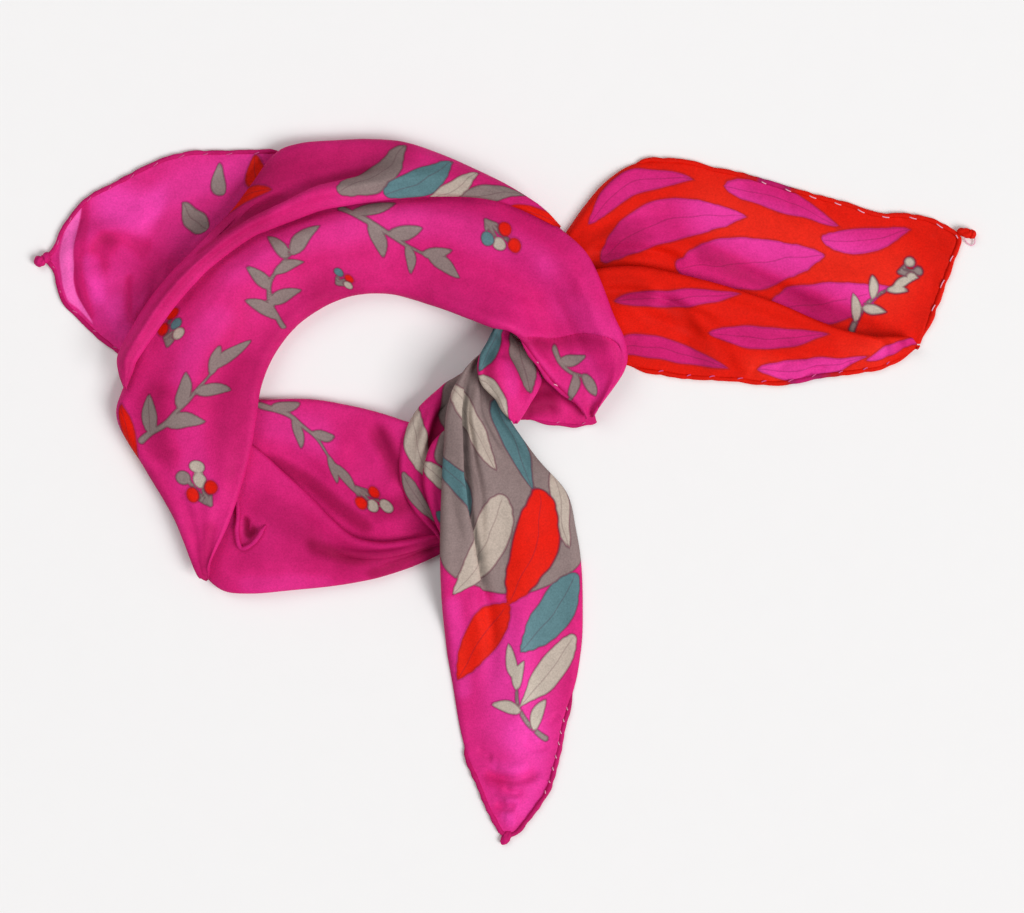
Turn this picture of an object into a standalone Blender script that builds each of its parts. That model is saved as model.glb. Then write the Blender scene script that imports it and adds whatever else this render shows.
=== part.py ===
"""A 55 cm silk square, folded on its diagonal into a loose roll, tied once and laid on a table.

The roll closes a ring on the left. One corner fans out flat at the far left, one tail
hangs towards the viewer from the knot and the other lies out to the right. Every
stretch of cloth that shows is one wall, lofted through a table of sections and laid
on the pieces already below it. The frame is +Z up, with the origin under the middle
of the box. Lengths are in millimetres until a mesh is made.
"""

import math
from collections import namedtuple

import bpy
from mathutils import Vector
from mathutils.bvhtree import BVHTree

MM = 0.001
WALL = 1.2  # thickness of a stretch of cloth
GAP = 0.4  # clearance between one piece and the next
TUCK = 3.5  # how far a folded edge turns under
HEM_RADIUS = 1.1  # half the thickness of the rolled hem
HEM_SIDES = 6
NUB_RADIUS = 2.0  # the rolled corner where two hems meet
REACH = 2.6  # how far round a point the pieces below are felt
DRAPE_STEPS = 2  # grid steps over which a lift fades out
SKY = 200.0  # height that rays fall from
MEASURE_STEPS = 12  # steps between two rows when the length of a table is measured
MAX_EDGE_SHARE, MAX_TUCK_SHARE = 0.3, 0.2  # of a narrow stretch's width, for a folded edge
FULL_SHOULDER = 2.0  # an edge this high has no room left out for a hem
SHOULDER_RUN = 0.6  # how much longer than high the shoulder of a cut edge is
LEVEL, STEEP = 0.6, 0.25  # facing of cloth that keeps its full wall, and that has nothing below
HEM_LIFT = 0.15  # a hem's lowest clearance from the table
HEM_FEEL = 0.2  # how far beyond its own radius a hem feels what is below
NUB_SQUASH, NUB_LIFT = 0.8, 0.1
CORE_FOOT = 0.6  # how far the hidden layers' underside is drawn in
LAYER_SIDE = [(0.0, 0.35), (0.2, 0.70), (0.9, 1.0)]  # (drawn in, share of the layer's height)
CORE_BROW, BROW_SHARE = 0.55, 0.7  # share of half the width, and of the middle's rise there
CORE_CROWN_SHARE, CORE_RISE = 0.3, 0.3  # of the crown above, for the layers and for their middle
CORE_DROP = 1.6  # clearance below the cloth's inner side
MIDDLE = Vector((0.15, 0.69, 0.0))  # of the scarf's box, which goes over the origin

PINK = (0.68, 0.03, 0.21)
LIGHT_PINK = (0.80, 0.06, 0.34)
DEEP_PINK = (0.42, 0.01, 0.10)
RED = (0.75, 0.02, 0.01)
TAUPE = (0.24, 0.17, 0.17)

HEMMED = ("hemmed", "hemmed")  # what the left and the right edge of a stretch are
FOLDED = ("folded", "folded")

# One section across a stretch: its middle, the way the stretch runs, the width, the
# crown's height over the edges, where the crown stands (-1 left, 1 right), and for the
# left and the right edge the radius of a folded one or the height of any other. In a
# core, crown is the height of its layers and peak is the rise of its middle above them.
Row = namedtuple("Row", "x y heading width crown peak left right")
# A long ridge (or a trough, if its height is negative) from one row to another.
Fold = namedtuple("Fold", "start end u_start u_end height spread")
# A layer of the hidden roll, as shares of the core's height and width.
Layer = namedtuple("Layer", "top width")

LEFT_CORNER = [
    Row(-166.5, 85.5, 3, 8, 0.0, 0, 0, 0),
    Row(-163.0, 84.5, -2, 28, 1.0, 0, 0, 0),
    Row(-156.0, 86.0, -4, 45, 1.6, 0, 0, 0),
    Row(-145.5, 84.5, -4, 60, 2.0, 0, 0, 0),
    Row(-134.5, 84.5, -5, 73, 1.2, 0, 0, 0),
    Row(-123.0, 92.5, -10, 67, 0.6, 0, 0, 0),
    Row(-110.0, 100.0, -17, 54, 0.6, 0, 0, 0),
    Row(-95.0, 108.0, -27, 41, 0.4, 0, 0, 0),
]
LEFT_CORNER_FOLDS = [
    Fold(0.6, 4.5, -0.30, -0.45, 1.8, 6),
    Fold(0.8, 4.5, 0.35, 0.10, 1.6, 5),
    Fold(2.5, 4.6, 0.70, 0.45, 1.6, 4),
]
UNDER_FLAP = [
    Row(6.0, 31.5, 3, 13, 0.4, 0, 0, 0),
    Row(12.0, 33.0, 4, 16, 1.0, 0, 0, 0),
    Row(18.0, 32.5, 4, 17, 1.4, 0, 0, 0),
    Row(25.0, 30.0, 6, 13, 1.0, 0, 0, 0),
    Row(31.0, 28.0, 13, 10, 0.4, 0, 0, 0),
]
RIGHT_TAIL = [
    Row(22.5, 81.5, 11, 22, 0.4, 0, 3.0, 0),
    Row(32.5, 88.0, 9, 36, 1.2, -0.2, 4.0, 0),
    Row(43.5, 93.0, 12, 46, 2.0, -0.3, 3.6, 0),
    Row(55.0, 95.0, 11, 54, 2.4, -0.4, 2.0, 0),
    Row(69.0, 94.5, 9, 56, 2.2, -0.4, 0.8, 0),
    Row(83.0, 91.5, 7, 56, 2.0, -0.4, 0.2, 0),
    Row(97.0, 88.0, 6, 56, 1.8, -0.3, 0, 0),
    Row(111.0, 84.5, 5, 54, 1.6, -0.2, 0, 0),
    Row(124.5, 81.0, 2, 53, 1.6, 0, 0, 0),
    Row(137.5, 78.5, -2, 49, 1.2, 0, 0, 0),
    Row(148.5, 78.0, -6, 49, 0.8, 0, 0, 0),
    Row(155.0, 77.0, -13, 47, 0.4, 0, 0, 0),
    Row(160.0, 75.0, -20, 44, 0.0, 0, 0, 0),
]
RIGHT_TAIL_FOLDS = [
    Fold(1.0, 6.0, 0.25, 0.15, 3.0, 7),
    Fold(2.5, 8.5, -0.45, -0.50, 1.2, 9),
    Fold(5.0, 9.5, 0.30, 0.05, 1.4, 6),
]
RIGHT_FRONT = [
    Row(31.5, 65.5, 14, 31, 1.5, -0.2, 2.2, 2.5),
    Row(40.5, 64.5, 12, 36, 2.5, -0.2, 2.4, 2.5),
    Row(52.5, 63.5, 8, 39, 3.0, -0.3, 2.5, 1.5),
    Row(65.5, 61.0, 8, 39, 3.0, -0.3, 2.5, 0.6),
    Row(78.5, 59.0, 9, 37, 2.6, -0.3, 2.4, 0),
    Row(90.5, 56.5, 6, 34, 2.4, -0.2, 2.2, 0),
    Row(102.5, 54.0, 3, 30, 2.0, -0.2, 2.0, 0),
    Row(115.0, 52.5, 3, 22, 1.6, 0, 2.0, 0),
    Row(127.5, 51.0, 3, 16, 1.0, 0, 1.8, 0),
    Row(138.5, 51.0, 3, 12, 0.6, 0, 1.7, 0),
    Row(148.5, 53.0, -6, 8, 0.2, 0, 1.7, 0),
]
RIGHT_FRONT_FOLDS = [
    Fold(1.5, 4.5, -0.20, 0.35, -1.8, 4),
    Fold(4.2, 6.0, 0.60, 0.95, 1.2, 3),
]
KNOT_CORE = [
    Row(-27.5, 5.0, 3, 27, 3.0, 0.7, 0, 0),
    Row(-16.5, 16.5, 9, 33, 5.0, 0.7, 0, 0),
    Row(-6.5, 26.0, 16, 31, 5.0, 0.7, 0, 0),
    Row(-1.5, 33.0, 21, 22, 3.5, 0.7, 0, 0),
]
LOWER_BAND = [
    Row(-93.5, 20.0, -8, 28, 1.2, 0, 1.8, 0),
    Row(-85.5, 19.0, -4, 30, 2.0, 0, 2.0, 0),
    Row(-72.5, 14.5, -3, 39, 2.6, 0, 2.2, 0),
    Row(-60.5, 8.0, -4, 48, 3.0, 0, 2.2, 0),
    Row(-50.0, 3.5, -5, 52, 3.2, 0, 2.2, 0),
    Row(-40.5, 0.5, -5, 52, 3.4, 0, 2.4, 0),
    Row(-33.0, 1.0, -1, 46, 2.6, 0, 2.4, 0),
]
LOWER_FOLD = [
    Row(-102.0, -7.5, -13, 54, 0.4, 0, 1.7, 1.8),
    Row(-95.5, -11.5, -14, 53, 1.6, 0.2, 1.8, 2.6),
    Row(-86.5, -15.5, -14, 46, 3.5, 0.2, 2.0, 3.2),
    Row(-75.5, -19.0, -11, 36, 4.5, 0, 2.2, 3.4),
    Row(-65.0, -22.5, -4, 26, 4.5, 0, 2.2, 3.2),
    Row(-55.0, -25.0, 6, 17.5, 3.5, 0, 2.2, 3.0),
    Row(-45.5, -25.0, 11, 13, 3.0, 0, 2.0, 2.6),
    Row(-35.5, -23.0, 15, 10.5, 2.0, 0, 1.8, 2.2),
    Row(-26.0, -20.0, 19, 8, 1.0, 0, 1.7, 1.8),
]
KNOT_WRAP = [
    Row(-13.5, 41.5, 50, 6.5, 1.0, 0, 1.7, 1.7),
    Row(-18.5, 35.0, 56, 12, 1.5, -0.2, 2.0, 1.7),
    Row(-23.5, 28.0, 62, 16.5, 2.0, -0.3, 2.4, 1.7),
    Row(-26.5, 22.0, 70, 18.5, 2.0, -0.4, 2.4, 1.7),
    Row(-29.0, 14.0, 73, 19, 2.0, -0.4, 2.2, 1.7),
    Row(-29.5, 6.5, 77, 19, 1.6, -0.4, 2.0, 1.7),
    Row(-29.0, -1.5, 80, 17, 1.4, -0.3, 1.8, 1.7),
    Row(-26.5, -9.5, 81, 12, 1.0, 0, 1.7, 1.7),
    Row(-23.0, -15.5, 77, 7, 0.5, 0, 1.7, 1.7),
]
KNOT_SIDE = [
    Row(-19.0, 21.5, 77, 6.5, 0.5, 0, 1.7, 1.7),
    Row(-21.0, 17.0, 80, 11, 0.6, -0.3, 1.7, 1.7),
    Row(-22.5, 11.0, 85, 13, 0.8, -0.4, 1.7, 1.7),
    Row(-23.0, 3.5, 84, 14, 0.8, -0.4, 1.8, 1.7),
    Row(-22.0, -4.5, 83, 12.5, 0.8, -0.4, 1.7, 1.7),
    Row(-21.0, -12.0, 81, 9, 0.6, -0.3, 1.7, 1.7),
    Row(-19.5, -17.5, 83, 6.5, 0.5, 0, 1.7, 1.7),
]
HANGING_TAIL = [
    Row(-8.5, 47.0, 84, 7.5, 0.5, 0, 1.8, 1.8),
    Row(-9.5, 42.0, 85, 13, 1.0, 0, 2.0, 2.2),
    Row(-10.0, 35.0, 87, 19, 1.5, 0.2, 2.0, 2.6),
    Row(-10.0, 27.5, 90, 23, 2.0, 0.3, 2.0, 3.0),
    Row(-7.5, 19.0, 90, 29, 2.5, 0.3, 2.2, 3.4),
    Row(-4.5, 10.0, 91, 36, 3.5, 0.3, 2.4, 3.8),
    Row(0.0, -1.0, 91, 46, 4.5, 0.3, 2.6, 4.2),
    Row(1.5, -14.5, 90, 50, 4.5, 0.2, 3.0, 4.4),
    Row(2.5, -28.5, 91, 52, 4.0, 0.2, 3.4, 4.4),
    Row(3.0, -43.5, 90, 52, 3.6, 0.1, 3.2, 4.0),
    Row(3.5, -58.0, 91, 50, 3.2, 0.1, 3.0, 3.0),
    Row(3.5, -73.0, 90, 45, 2.8, 0, 2.6, 1.4),
    Row(3.0, -87.5, 91, 39, 2.4, 0, 1.6, 0.6),
    Row(3.0, -99.5, 90, 34.5, 1.8, 0, 0.6, 0.2),
    Row(3.5, -109.5, 88, 27.5, 1.4, 0, 0.2, 0),
    Row(3.0, -117.0, 92, 20, 1.0, 0, 0, 0),
    Row(2.0, -125.5, 92, 9, 0.2, 0, 0, 0),
]
HANGING_TAIL_FOLDS = [
    Fold(0.6, 8.8, -0.30, -0.50, -2.6, 2.2),
    Fold(2.0, 9.5, -0.70, -0.75, 1.2, 3),
    Fold(8.5, 12.5, 0.20, 0.10, 1.2, 4),
    Fold(12.5, 15.8, 0.20, -0.20, 1.6, 3),
    Fold(12.5, 15.5, -0.40, -0.30, -1.0, 3),
]
KNOT_LOOP = [
    Row(-1.0, 58.0, 90, 8, 0.5, 0, 1.7, 1.7),
    Row(0.0, 54.5, 90, 13, 1.5, 0, 2.2, 2.2),
    Row(0.5, 49.5, 92, 19.5, 2.0, 0, 2.4, 2.4),
    Row(1.5, 45.0, 92, 22.5, 2.5, 0.1, 2.6, 2.6),
    Row(2.5, 40.5, 92, 22.5, 2.5, 0.1, 2.6, 2.6),
    Row(3.0, 37.0, 91, 19, 2.0, 0, 2.4, 2.4),
    Row(3.5, 33.5, 90, 13.5, 1.5, 0, 2.2, 2.2),
    Row(3.5, 29.0, 90, 8.5, 0.5, 0, 1.7, 1.7),
]
RING_BAND = [
    Row(-110.5, -27.5, 127, 7.5, 0.5, 0, 1.8, 1.8),
    Row(-111.0, -11.5, 91, 20, 2.0, 0, 2.8, 1.8),
    Row(-113.5, 8.0, 90, 37.5, 4.0, 0, 3.8, 2.0),
    Row(-117.0, 26.0, 90, 51.5, 5.5, 0, 4.2, 2.4),
    Row(-114.5, 39.5, 90, 51, 6.5, -0.1, 4.4, 3.4),
    Row(-107.0, 57.0, 78, 48, 6.5, -0.2, 4.2, 4.2),
    Row(-92.0, 75.5, 56, 44, 6.5, -0.3, 4.2, 4.5),
    Row(-71.0, 88.5, 34, 42, 6.5, -0.3, 4.2, 4.6),
    Row(-46.5, 93.5, 10, 42.5, 6.0, -0.35, 4.0, 4.6),
    Row(-21.0, 91.5, -11, 48, 6.0, -0.35, 3.8, 4.5),
    Row(-8.5, 87.0, -16, 48, 6.0, -0.35, 3.4, 4.2),
    Row(3.0, 82.0, -20, 47, 5.5, -0.3, 3.0, 3.8),
    Row(11.0, 77.5, -26, 42.5, 5.0, -0.2, 3.2, 3.0),
    Row(19.0, 70.0, -39, 39.5, 4.5, -0.1, 3.2, 2.2),
    Row(28.0, 53.5, -47, 33, 4.0, -0.1, 3.0, 1.8),
    Row(33.0, 45.5, -54, 29, 3.0, 0, 2.6, 1.7),
    Row(35.0, 38.5, -57, 22, 2.0, 0, 2.2, 1.7),
    Row(32.5, 30.0, -60, 7.5, 0.5, 0, 1.7, 1.7),
]
RING_BAND_FOLDS = [
    Fold(11.5, 15.5, 0.75, 0.35, -1.2, 4),
    Fold(2.0, 6.5, 0.45, 0.35, -1.0, 6),
]
OUTER_FOLD = [
    Row(-138.5, 44.0, 98, 6, 0.4, 0, 1.7, 1.7),
    Row(-138.0, 49.0, 77, 8, 1.0, 0, 1.8, 1.8),
    Row(-132.5, 58.5, 86, 10.5, 2.0, 0, 2.2, 2.0),
    Row(-126.0, 68.5, 80, 11, 2.5, 0, 2.4, 2.0),
    Row(-118.5, 77.5, 75, 11, 2.5, 0, 2.4, 2.2),
    Row(-111.0, 85.0, 65, 10.5, 2.5, 0.1, 2.4, 2.2),
    Row(-97.0, 97.5, 37, 13, 2.5, 0.4, 2.4, 2.2),
    Row(-89.0, 104.5, 26, 19, 2.5, 0.6, 2.6, 2.2),
    Row(-80.0, 112.0, 20, 26.5, 3.0, 0.6, 2.8, 2.2),
    Row(-71.0, 115.5, 19, 27, 3.5, 0.6, 3.2, 2.2),
    Row(-59.5, 117.0, 13, 25.5, 3.5, 0.5, 3.4, 2.2),
    Row(-47.5, 118.0, 9, 24, 3.5, 0.4, 3.6, 2.2),
    Row(-35.5, 118.0, 7, 21.5, 3.0, 0.2, 3.6, 2.2),
    Row(-23.0, 116.0, 5, 16.5, 2.5, 0, 3.2, 2.0),
    Row(-11.5, 113.0, -6, 11, 1.8, 0, 2.4, 1.8),
    Row(-1.5, 109.5, -28, 7.5, 1.0, 0, 1.7, 1.7),
    Row(7.5, 105.0, -55, 6, 0.4, 0, 1.7, 1.7),
]
OUTER_FOLD_FOLDS = [
    Fold(5.5, 8.0, -0.30, 0.30, -2.5, 3),
    Fold(7.0, 11.5, 0.20, 0.10, -3.2, 4),
]
RING_CORE_ROWS = (2, 11)  # first and last row of the ring band that has hidden layers below it
TAIL_CORE_ROWS = (6, 10)
CORE_LAYERS = [Layer(0.36, 1.00), Layer(0.70, 0.96), Layer(1.00, 0.88)]


def smooth(share):
    """Rises from 0 to 1 with level ends."""
    share = min(max(share, 0.0), 1.0)
    return share * share * (3 - 2 * share)


def catmull(before, start, end, after, share):
    """The curve through start and end, each value of the lists by itself."""
    return [
        b + 0.5 * share * (c - a + share * (2 * a - 5 * b + 4 * c - d + share * (3 * (b - c) + d - a)))
        for a, b, c, d in zip(before, start, end, after)
    ]


def edge_values(row):
    """The ends of a section and the rest of its row, as one list that can be blended."""
    across = math.radians(row.heading - 90)
    step_x, step_y = math.cos(across) * row.width / 2, math.sin(across) * row.width / 2
    ends = [row.x - step_x, row.y - step_y, row.x + step_x, row.y + step_y]
    return ends + [row.crown, row.peak, row.left, row.right]


def blended(rows, place):
    """The section at a place along the table, such as 2.5 between rows 2 and 3."""
    first = min(int(place), len(rows) - 2)
    values = [edge_values(rows[min(max(first + step, 0), len(rows) - 1)]) for step in (-1, 0, 1, 2)]
    return catmull(*values, place - first)


def even_places(rows, spacing):
    """Places along the table whose sections stand about one spacing apart."""
    places = [step / MEASURE_STEPS for step in range((len(rows) - 1) * MEASURE_STEPS + 1)]
    run = [0.0]
    last = None
    for place in places:
        left_x, left_y, right_x, right_y = blended(rows, place)[:4]
        middle = Vector(((left_x + right_x) / 2, (left_y + right_y) / 2))
        if last is not None:
            run.append(run[-1] + (middle - last).length)
        last = middle
    count = max(round(run[-1] / spacing), len(rows) // 2, 2)
    even = []
    index = 0
    for step in range(count + 1):
        target = run[-1] * step / count
        while index < len(run) - 2 and run[index + 1] < target:
            index += 1
        length = run[index + 1] - run[index]
        even.append((index + (target - run[index]) / max(length, 1e-6)) / MEASURE_STEPS)
    even[-1] = len(rows) - 1.0
    return even


def hump(u, peak):
    """1 where the crown stands, falling level to 0 at both edges."""
    side = (u - peak) / ((1 - peak) if u > peak else (1 + peak))
    return 1 - smooth(abs(side))


def fold_height(folds, place, u, width):
    """What the ridges and troughs add at one point of a section."""
    total = 0.0
    for fold in folds:
        share = (place - fold.start) / (fold.end - fold.start)
        if not 0 < share < 1:
            continue
        middle = fold.u_start + (fold.u_end - fold.u_start) * share
        off = (u - middle) * width / 2 / fold.spread
        total += fold.height * math.exp(-off * off) * smooth(4 * share * (1 - share))
    return total


def edge_profile(kind, radius, width):
    """Points from the end of the cloth to its shoulder, as (distance from the outline, height)."""
    if kind == "folded":
        radius = min(radius, MAX_EDGE_SHARE * width)
        tuck = min(TUCK, MAX_TUCK_SHARE * width)
        turn = [math.radians(angle) for angle in (-90, -25, 30, 90)]
        arc = [(radius - radius * math.cos(a), radius + radius * math.sin(a)) for a in turn]
        return [(radius + tuck, 0.0)] + arc
    thin = 1 - smooth(radius / FULL_SHOULDER)
    inset = (2 * HEM_RADIUS + GAP) * thin if kind == "hemmed" else 0.0
    run, foot = radius + SHOULDER_RUN, WALL * thin
    turn = [math.radians(angle) for angle in (0, 35, 90)]
    return [(inset + run * (1 - math.cos(a)), foot + radius * math.sin(a)) for a in turn]


def section_points(values, place, folds, kinds, tops):
    """The outer side of one section, as (u, x, y, z) from its left end to its right end."""
    left_x, left_y, right_x, right_y, crown, peak, left, right = values
    width = math.hypot(right_x - left_x, right_y - left_y)
    left_side = edge_profile(kinds[0], left, width)
    right_side = edge_profile(kinds[1], right, width)
    (start, start_z), (end, end_z) = left_side[-1], right_side[-1]
    flat = list(left_side)
    span = width - end - start
    for step in range(1, tops + 1):
        share = step / (tops + 1)
        distance = start + span * share
        u = 2 * share - 1
        height = start_z + (end_z - start_z) * smooth(share) + crown * hump(u, peak)
        lowest = WALL * (1 - smooth(abs(u)))
        flat.append((distance, max(height + fold_height(folds, place, u, width), lowest)))
    flat += [(width - distance, height) for distance, height in reversed(right_side)]
    points = []
    for distance, height in flat:
        share = distance / width
        x = left_x + (right_x - left_x) * share
        y = left_y + (right_y - left_y) * share
        points.append((2 * share - 1, x, y, height))
    return points


def runs_back(grid):
    """True if the sections follow each other against their headings, as in a tail that points down."""
    i, j = len(grid) // 2, len(grid[0]) // 2
    along = grid[i + 1][j] - grid[i - 1][j]
    across = grid[i][j + 1] - grid[i][j - 1]
    return across.cross(along).z < 0


def grid_normals(grid):
    """The way out of the cloth at each point of its outer side."""
    rows, columns = len(grid), len(grid[0])
    turn = -1 if runs_back(grid) else 1
    normals = []
    for i in range(rows):
        line = []
        for j in range(columns):
            along = grid[min(i + 1, rows - 1)][j] - grid[max(i - 1, 0)][j]
            across = grid[i][min(j + 1, columns - 1)] - grid[i][max(j - 1, 0)]
            line.append(across.cross(along).normalized() * turn)
        normals.append(line)
    return normals


class Scarf:
    """The pieces made so far, each with a tree that later pieces are laid on."""

    def __init__(self):
        self.trees = []

    def top(self, x, y):
        """The highest point below the sky at a place, or None over the bare table."""
        best = None
        for tree in self.trees:
            hit = tree.ray_cast(Vector((x, y, SKY)), Vector((0, 0, -1)))[0]
            if hit is not None and (best is None or hit.z > best):
                best = hit.z
        return best

    def support(self, x, y, reach=REACH):
        """The highest top within reach of a place."""
        found = [self.top(x, y)]
        for ring in (0.5, 1.0):
            for step in range(8):
                angle = math.tau * (step + ring) / 8
                found.append(self.top(x + ring * reach * math.cos(angle), y + ring * reach * math.sin(angle)))
        found = [height for height in found if height is not None]
        return max(found) if found else None

    def add(self, name, points, faces, colour):
        """Makes one object from points in millimetres and remembers its tree."""
        self.trees.append(BVHTree.FromPolygons(points, faces))
        mesh = bpy.data.meshes.new(name)
        mesh.from_pydata([(point - MIDDLE) * MM for point in points], [], faces)
        mesh.validate()
        mesh.shade_smooth()
        mesh.set_sharp_from_angle(angle=math.radians(60))
        mesh.materials.append(silk(name, colour))
        obj = bpy.data.objects.new(name, mesh)
        bpy.context.scene.collection.objects.link(obj)
        return obj


def silk(name, colour):
    """Plain dyed silk, with a soft gloss."""
    material = bpy.data.materials.new(name + "_silk")
    material.use_nodes = True
    shader = material.node_tree.nodes["Principled BSDF"]
    shader.inputs["Base Color"].default_value = (*colour, 1.0)
    shader.inputs["Roughness"].default_value = 0.55
    shader.inputs["Metallic"].default_value = 0.0
    return material


def spread_lift(need, steps):
    """Lifts that are never under the need, and fade out over a few grid steps."""
    rows, columns = len(need), len(need[0])

    def window(values, i, j, pick):
        found = [
            values[a][b]
            for a in range(max(i - steps, 0), min(i + steps + 1, rows))
            for b in range(max(j - steps, 0), min(j + steps + 1, columns))
        ]
        return pick(found)

    wide = [[window(need, i, j, max) for j in range(columns)] for i in range(rows)]
    return [[window(wide, i, j, lambda v: sum(v) / len(v)) for j in range(columns)] for i in range(rows)]


def laid_grid(scarf, rows, folds, kinds, tops, spacing):
    """The outer side of a stretch of cloth, lifted so that it lies on what is below it."""
    places = even_places(rows, spacing)
    flat = [section_points(blended(rows, place), place, folds, kinds, tops) for place in places]
    grid = [[Vector(point[1:]) for point in line] for line in flat]
    normals = grid_normals(grid)
    columns = 2 * tops + 5
    need = [[0.0] * columns for _ in grid]
    for i, line in enumerate(flat):
        for j, (u, x, y, z) in enumerate(line):
            below = scarf.support(x, y)
            if below is None:
                continue
            facing = normals[i][j].z
            body = WALL / max(facing, LEVEL) if facing > STEEP else 0.0
            column = min(max((u + 1) / 2, 0.0), 1.0) * (columns - 1)
            for k in (int(column), min(int(column) + 1, columns - 1)):
                need[i][k] = max(need[i][k], below + GAP + body - z)
    lift = spread_lift(need, DRAPE_STEPS)
    for i, line in enumerate(flat):
        for j, point in enumerate(line):
            column = min(max((point[0] + 1) / 2, 0.0), 1.0) * (columns - 1)
            k = min(int(column), columns - 2)
            grid[i][j].z += lift[i][k] + (lift[i][k + 1] - lift[i][k]) * (column - k)
    return places, grid


def wall_mesh(grid):
    """A closed wall between the outer side and the same side moved in by the wall."""
    rows, columns = len(grid), len(grid[0])
    normals = grid_normals(grid)
    outer = [point for line in grid for point in line]
    inner = []
    for line, facing in zip(grid, normals):
        for point, normal in zip(line, facing):
            moved = point - normal * WALL
            inner.append(Vector((moved.x, moved.y, max(moved.z, 0.0))))
    count = len(outer)
    faces = []
    for i in range(rows - 1):
        for j in range(columns - 1):
            a, b = i * columns + j, i * columns + j + 1
            c, d = b + columns, a + columns
            faces.append((a, b, c, d))
            faces.append((count + d, count + c, count + b, count + a))
    border = [(0, j) for j in range(columns)]
    border += [(i, columns - 1) for i in range(1, rows)]
    border += [(rows - 1, j) for j in range(columns - 2, -1, -1)]
    border += [(i, 0) for i in range(rows - 2, 0, -1)]
    ring = [i * columns + j for i, j in border]
    for a, b in zip(ring, ring[1:] + ring[:1]):
        faces.append((b, a, count + a, count + b))
    if runs_back(grid):
        faces = [face[::-1] for face in faces]
    return outer + inner, faces


def lay_cloth(scarf, name, rows, colour, kinds, tops, spacing, folds=()):
    """One stretch of cloth. Returns its places and its outer side, for the hems."""
    places, grid = laid_grid(scarf, rows, folds, kinds, tops, spacing)
    points, faces = wall_mesh(grid)
    scarf.add(name, points, faces, colour)
    return places, grid


def lay_core(scarf, name, rows, colour, spacing):
    """The hidden layers of the roll as one rounded solid, flat below and layered at its sides."""
    sections = []
    for place in even_places(rows, spacing):
        left_x, left_y, right_x, right_y, height, rise = blended(rows, place)[:6]
        half = math.hypot(right_x - left_x, right_y - left_y) / 2
        side = [(half - CORE_FOOT, 0.0)]
        floor = 0.0
        for layer in CORE_LAYERS:
            top, reach = height * layer.top, half * layer.width
            side += [(reach - drawn_in, floor + share * (top - floor)) for drawn_in, share in LAYER_SIDE]
            floor = top
        side.append((CORE_BROW * half, height + BROW_SHARE * rise))
        profile = [(-x, z) for x, z in side] + [(0.0, height + rise)] + side[::-1]
        line = []
        for across, z in profile:
            share = 0.5 + across / (2 * half)
            line.append(Vector((left_x + (right_x - left_x) * share, left_y + (right_y - left_y) * share, z)))
        sections.append(line)
    count = len(sections[0])
    points = [point for line in sections for point in line]
    faces = []
    for i in range(len(sections) - 1):
        for j in range(count):
            a, b = i * count + j, i * count + (j + 1) % count
            faces.append((a, b, b + count, a + count))
    faces.append(tuple(range(count))[::-1])
    faces.append(tuple(range(len(points) - count, len(points))))
    if runs_back(sections):
        faces = [face[::-1] for face in faces]
    scarf.add(name, points, faces, colour)


def edge_line(cloth, column, first=0.0, last=99.0):
    """The end of the cloth along one side, between two places, with the way out of it."""
    places, grid = cloth
    inward = 1 if column == 0 else -2
    line = []
    for place, row in zip(places, grid):
        if first <= place <= last:
            out = row[column] - row[inward]
            line.append((row[column], Vector((out.x, out.y, 0)).normalized()))
    return line


def end_line(cloth, row):
    """The cut end of the cloth across one section, with the way out of it, corners too."""
    end = cloth[1][row]
    beside = cloth[1][1 if row == 0 else -2]
    line = []
    for j in [0] + list(range(3, len(end) - 3)) + [len(end) - 1]:
        out = end[j] - beside[j]
        out = Vector((out.x, out.y, 0)).normalized()
        if j in (0, len(end) - 1):
            side = end[j] - end[1 if j == 0 else -2]
            out += Vector((side.x, side.y, 0)).normalized()
        line.append((end[j], out))
    return line


def lay_hem(scarf, name, line, colour):
    """A rolled hem: a tube just outside the end of the cloth, clear of all that is below."""
    path = []
    for point, out in line:
        spot = point + out * (HEM_RADIUS + GAP)
        height = max(point.z - WALL / 2, HEM_RADIUS + HEM_LIFT)
        below = scarf.support(spot.x, spot.y, HEM_RADIUS + HEM_FEEL)
        if below is not None:
            height = max(height, below + GAP + HEM_RADIUS)
        path.append(Vector((spot.x, spot.y, height)))
    points = []
    for index, middle in enumerate(path):
        ahead = path[min(index + 1, len(path) - 1)] - path[max(index - 1, 0)]
        side = ahead.cross(Vector((0, 0, 1))).normalized()
        rise = side.cross(ahead).normalized()
        for step in range(HEM_SIDES):
            angle = math.tau * step / HEM_SIDES
            points.append(middle + (side * math.cos(angle) + rise * math.sin(angle)) * HEM_RADIUS)
    faces = []
    for index in range(len(path) - 1):
        for step in range(HEM_SIDES):
            a = index * HEM_SIDES + step
            b = index * HEM_SIDES + (step + 1) % HEM_SIDES
            faces.append((b, a, a + HEM_SIDES, b + HEM_SIDES))
    faces.append(tuple(range(HEM_SIDES)))
    faces.append(tuple(range(len(points) - HEM_SIDES, len(points)))[::-1])
    scarf.add(name, points, faces, colour)


def lay_nub(scarf, name, x, y, colour):
    """The hard little roll at a corner of the square, where two hems are whipped together."""
    bpy.ops.mesh.primitive_uv_sphere_add(segments=8, ring_count=6, radius=NUB_RADIUS)
    ball = bpy.context.object
    middle = Vector((x, y, NUB_SQUASH * NUB_RADIUS + NUB_LIFT))
    points = [middle + Vector((v.co.x, v.co.y, v.co.z * NUB_SQUASH)) for v in ball.data.vertices]
    faces = [tuple(face.vertices) for face in ball.data.polygons]
    bpy.data.objects.remove(ball)
    scarf.add(name, points, faces, colour)


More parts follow.
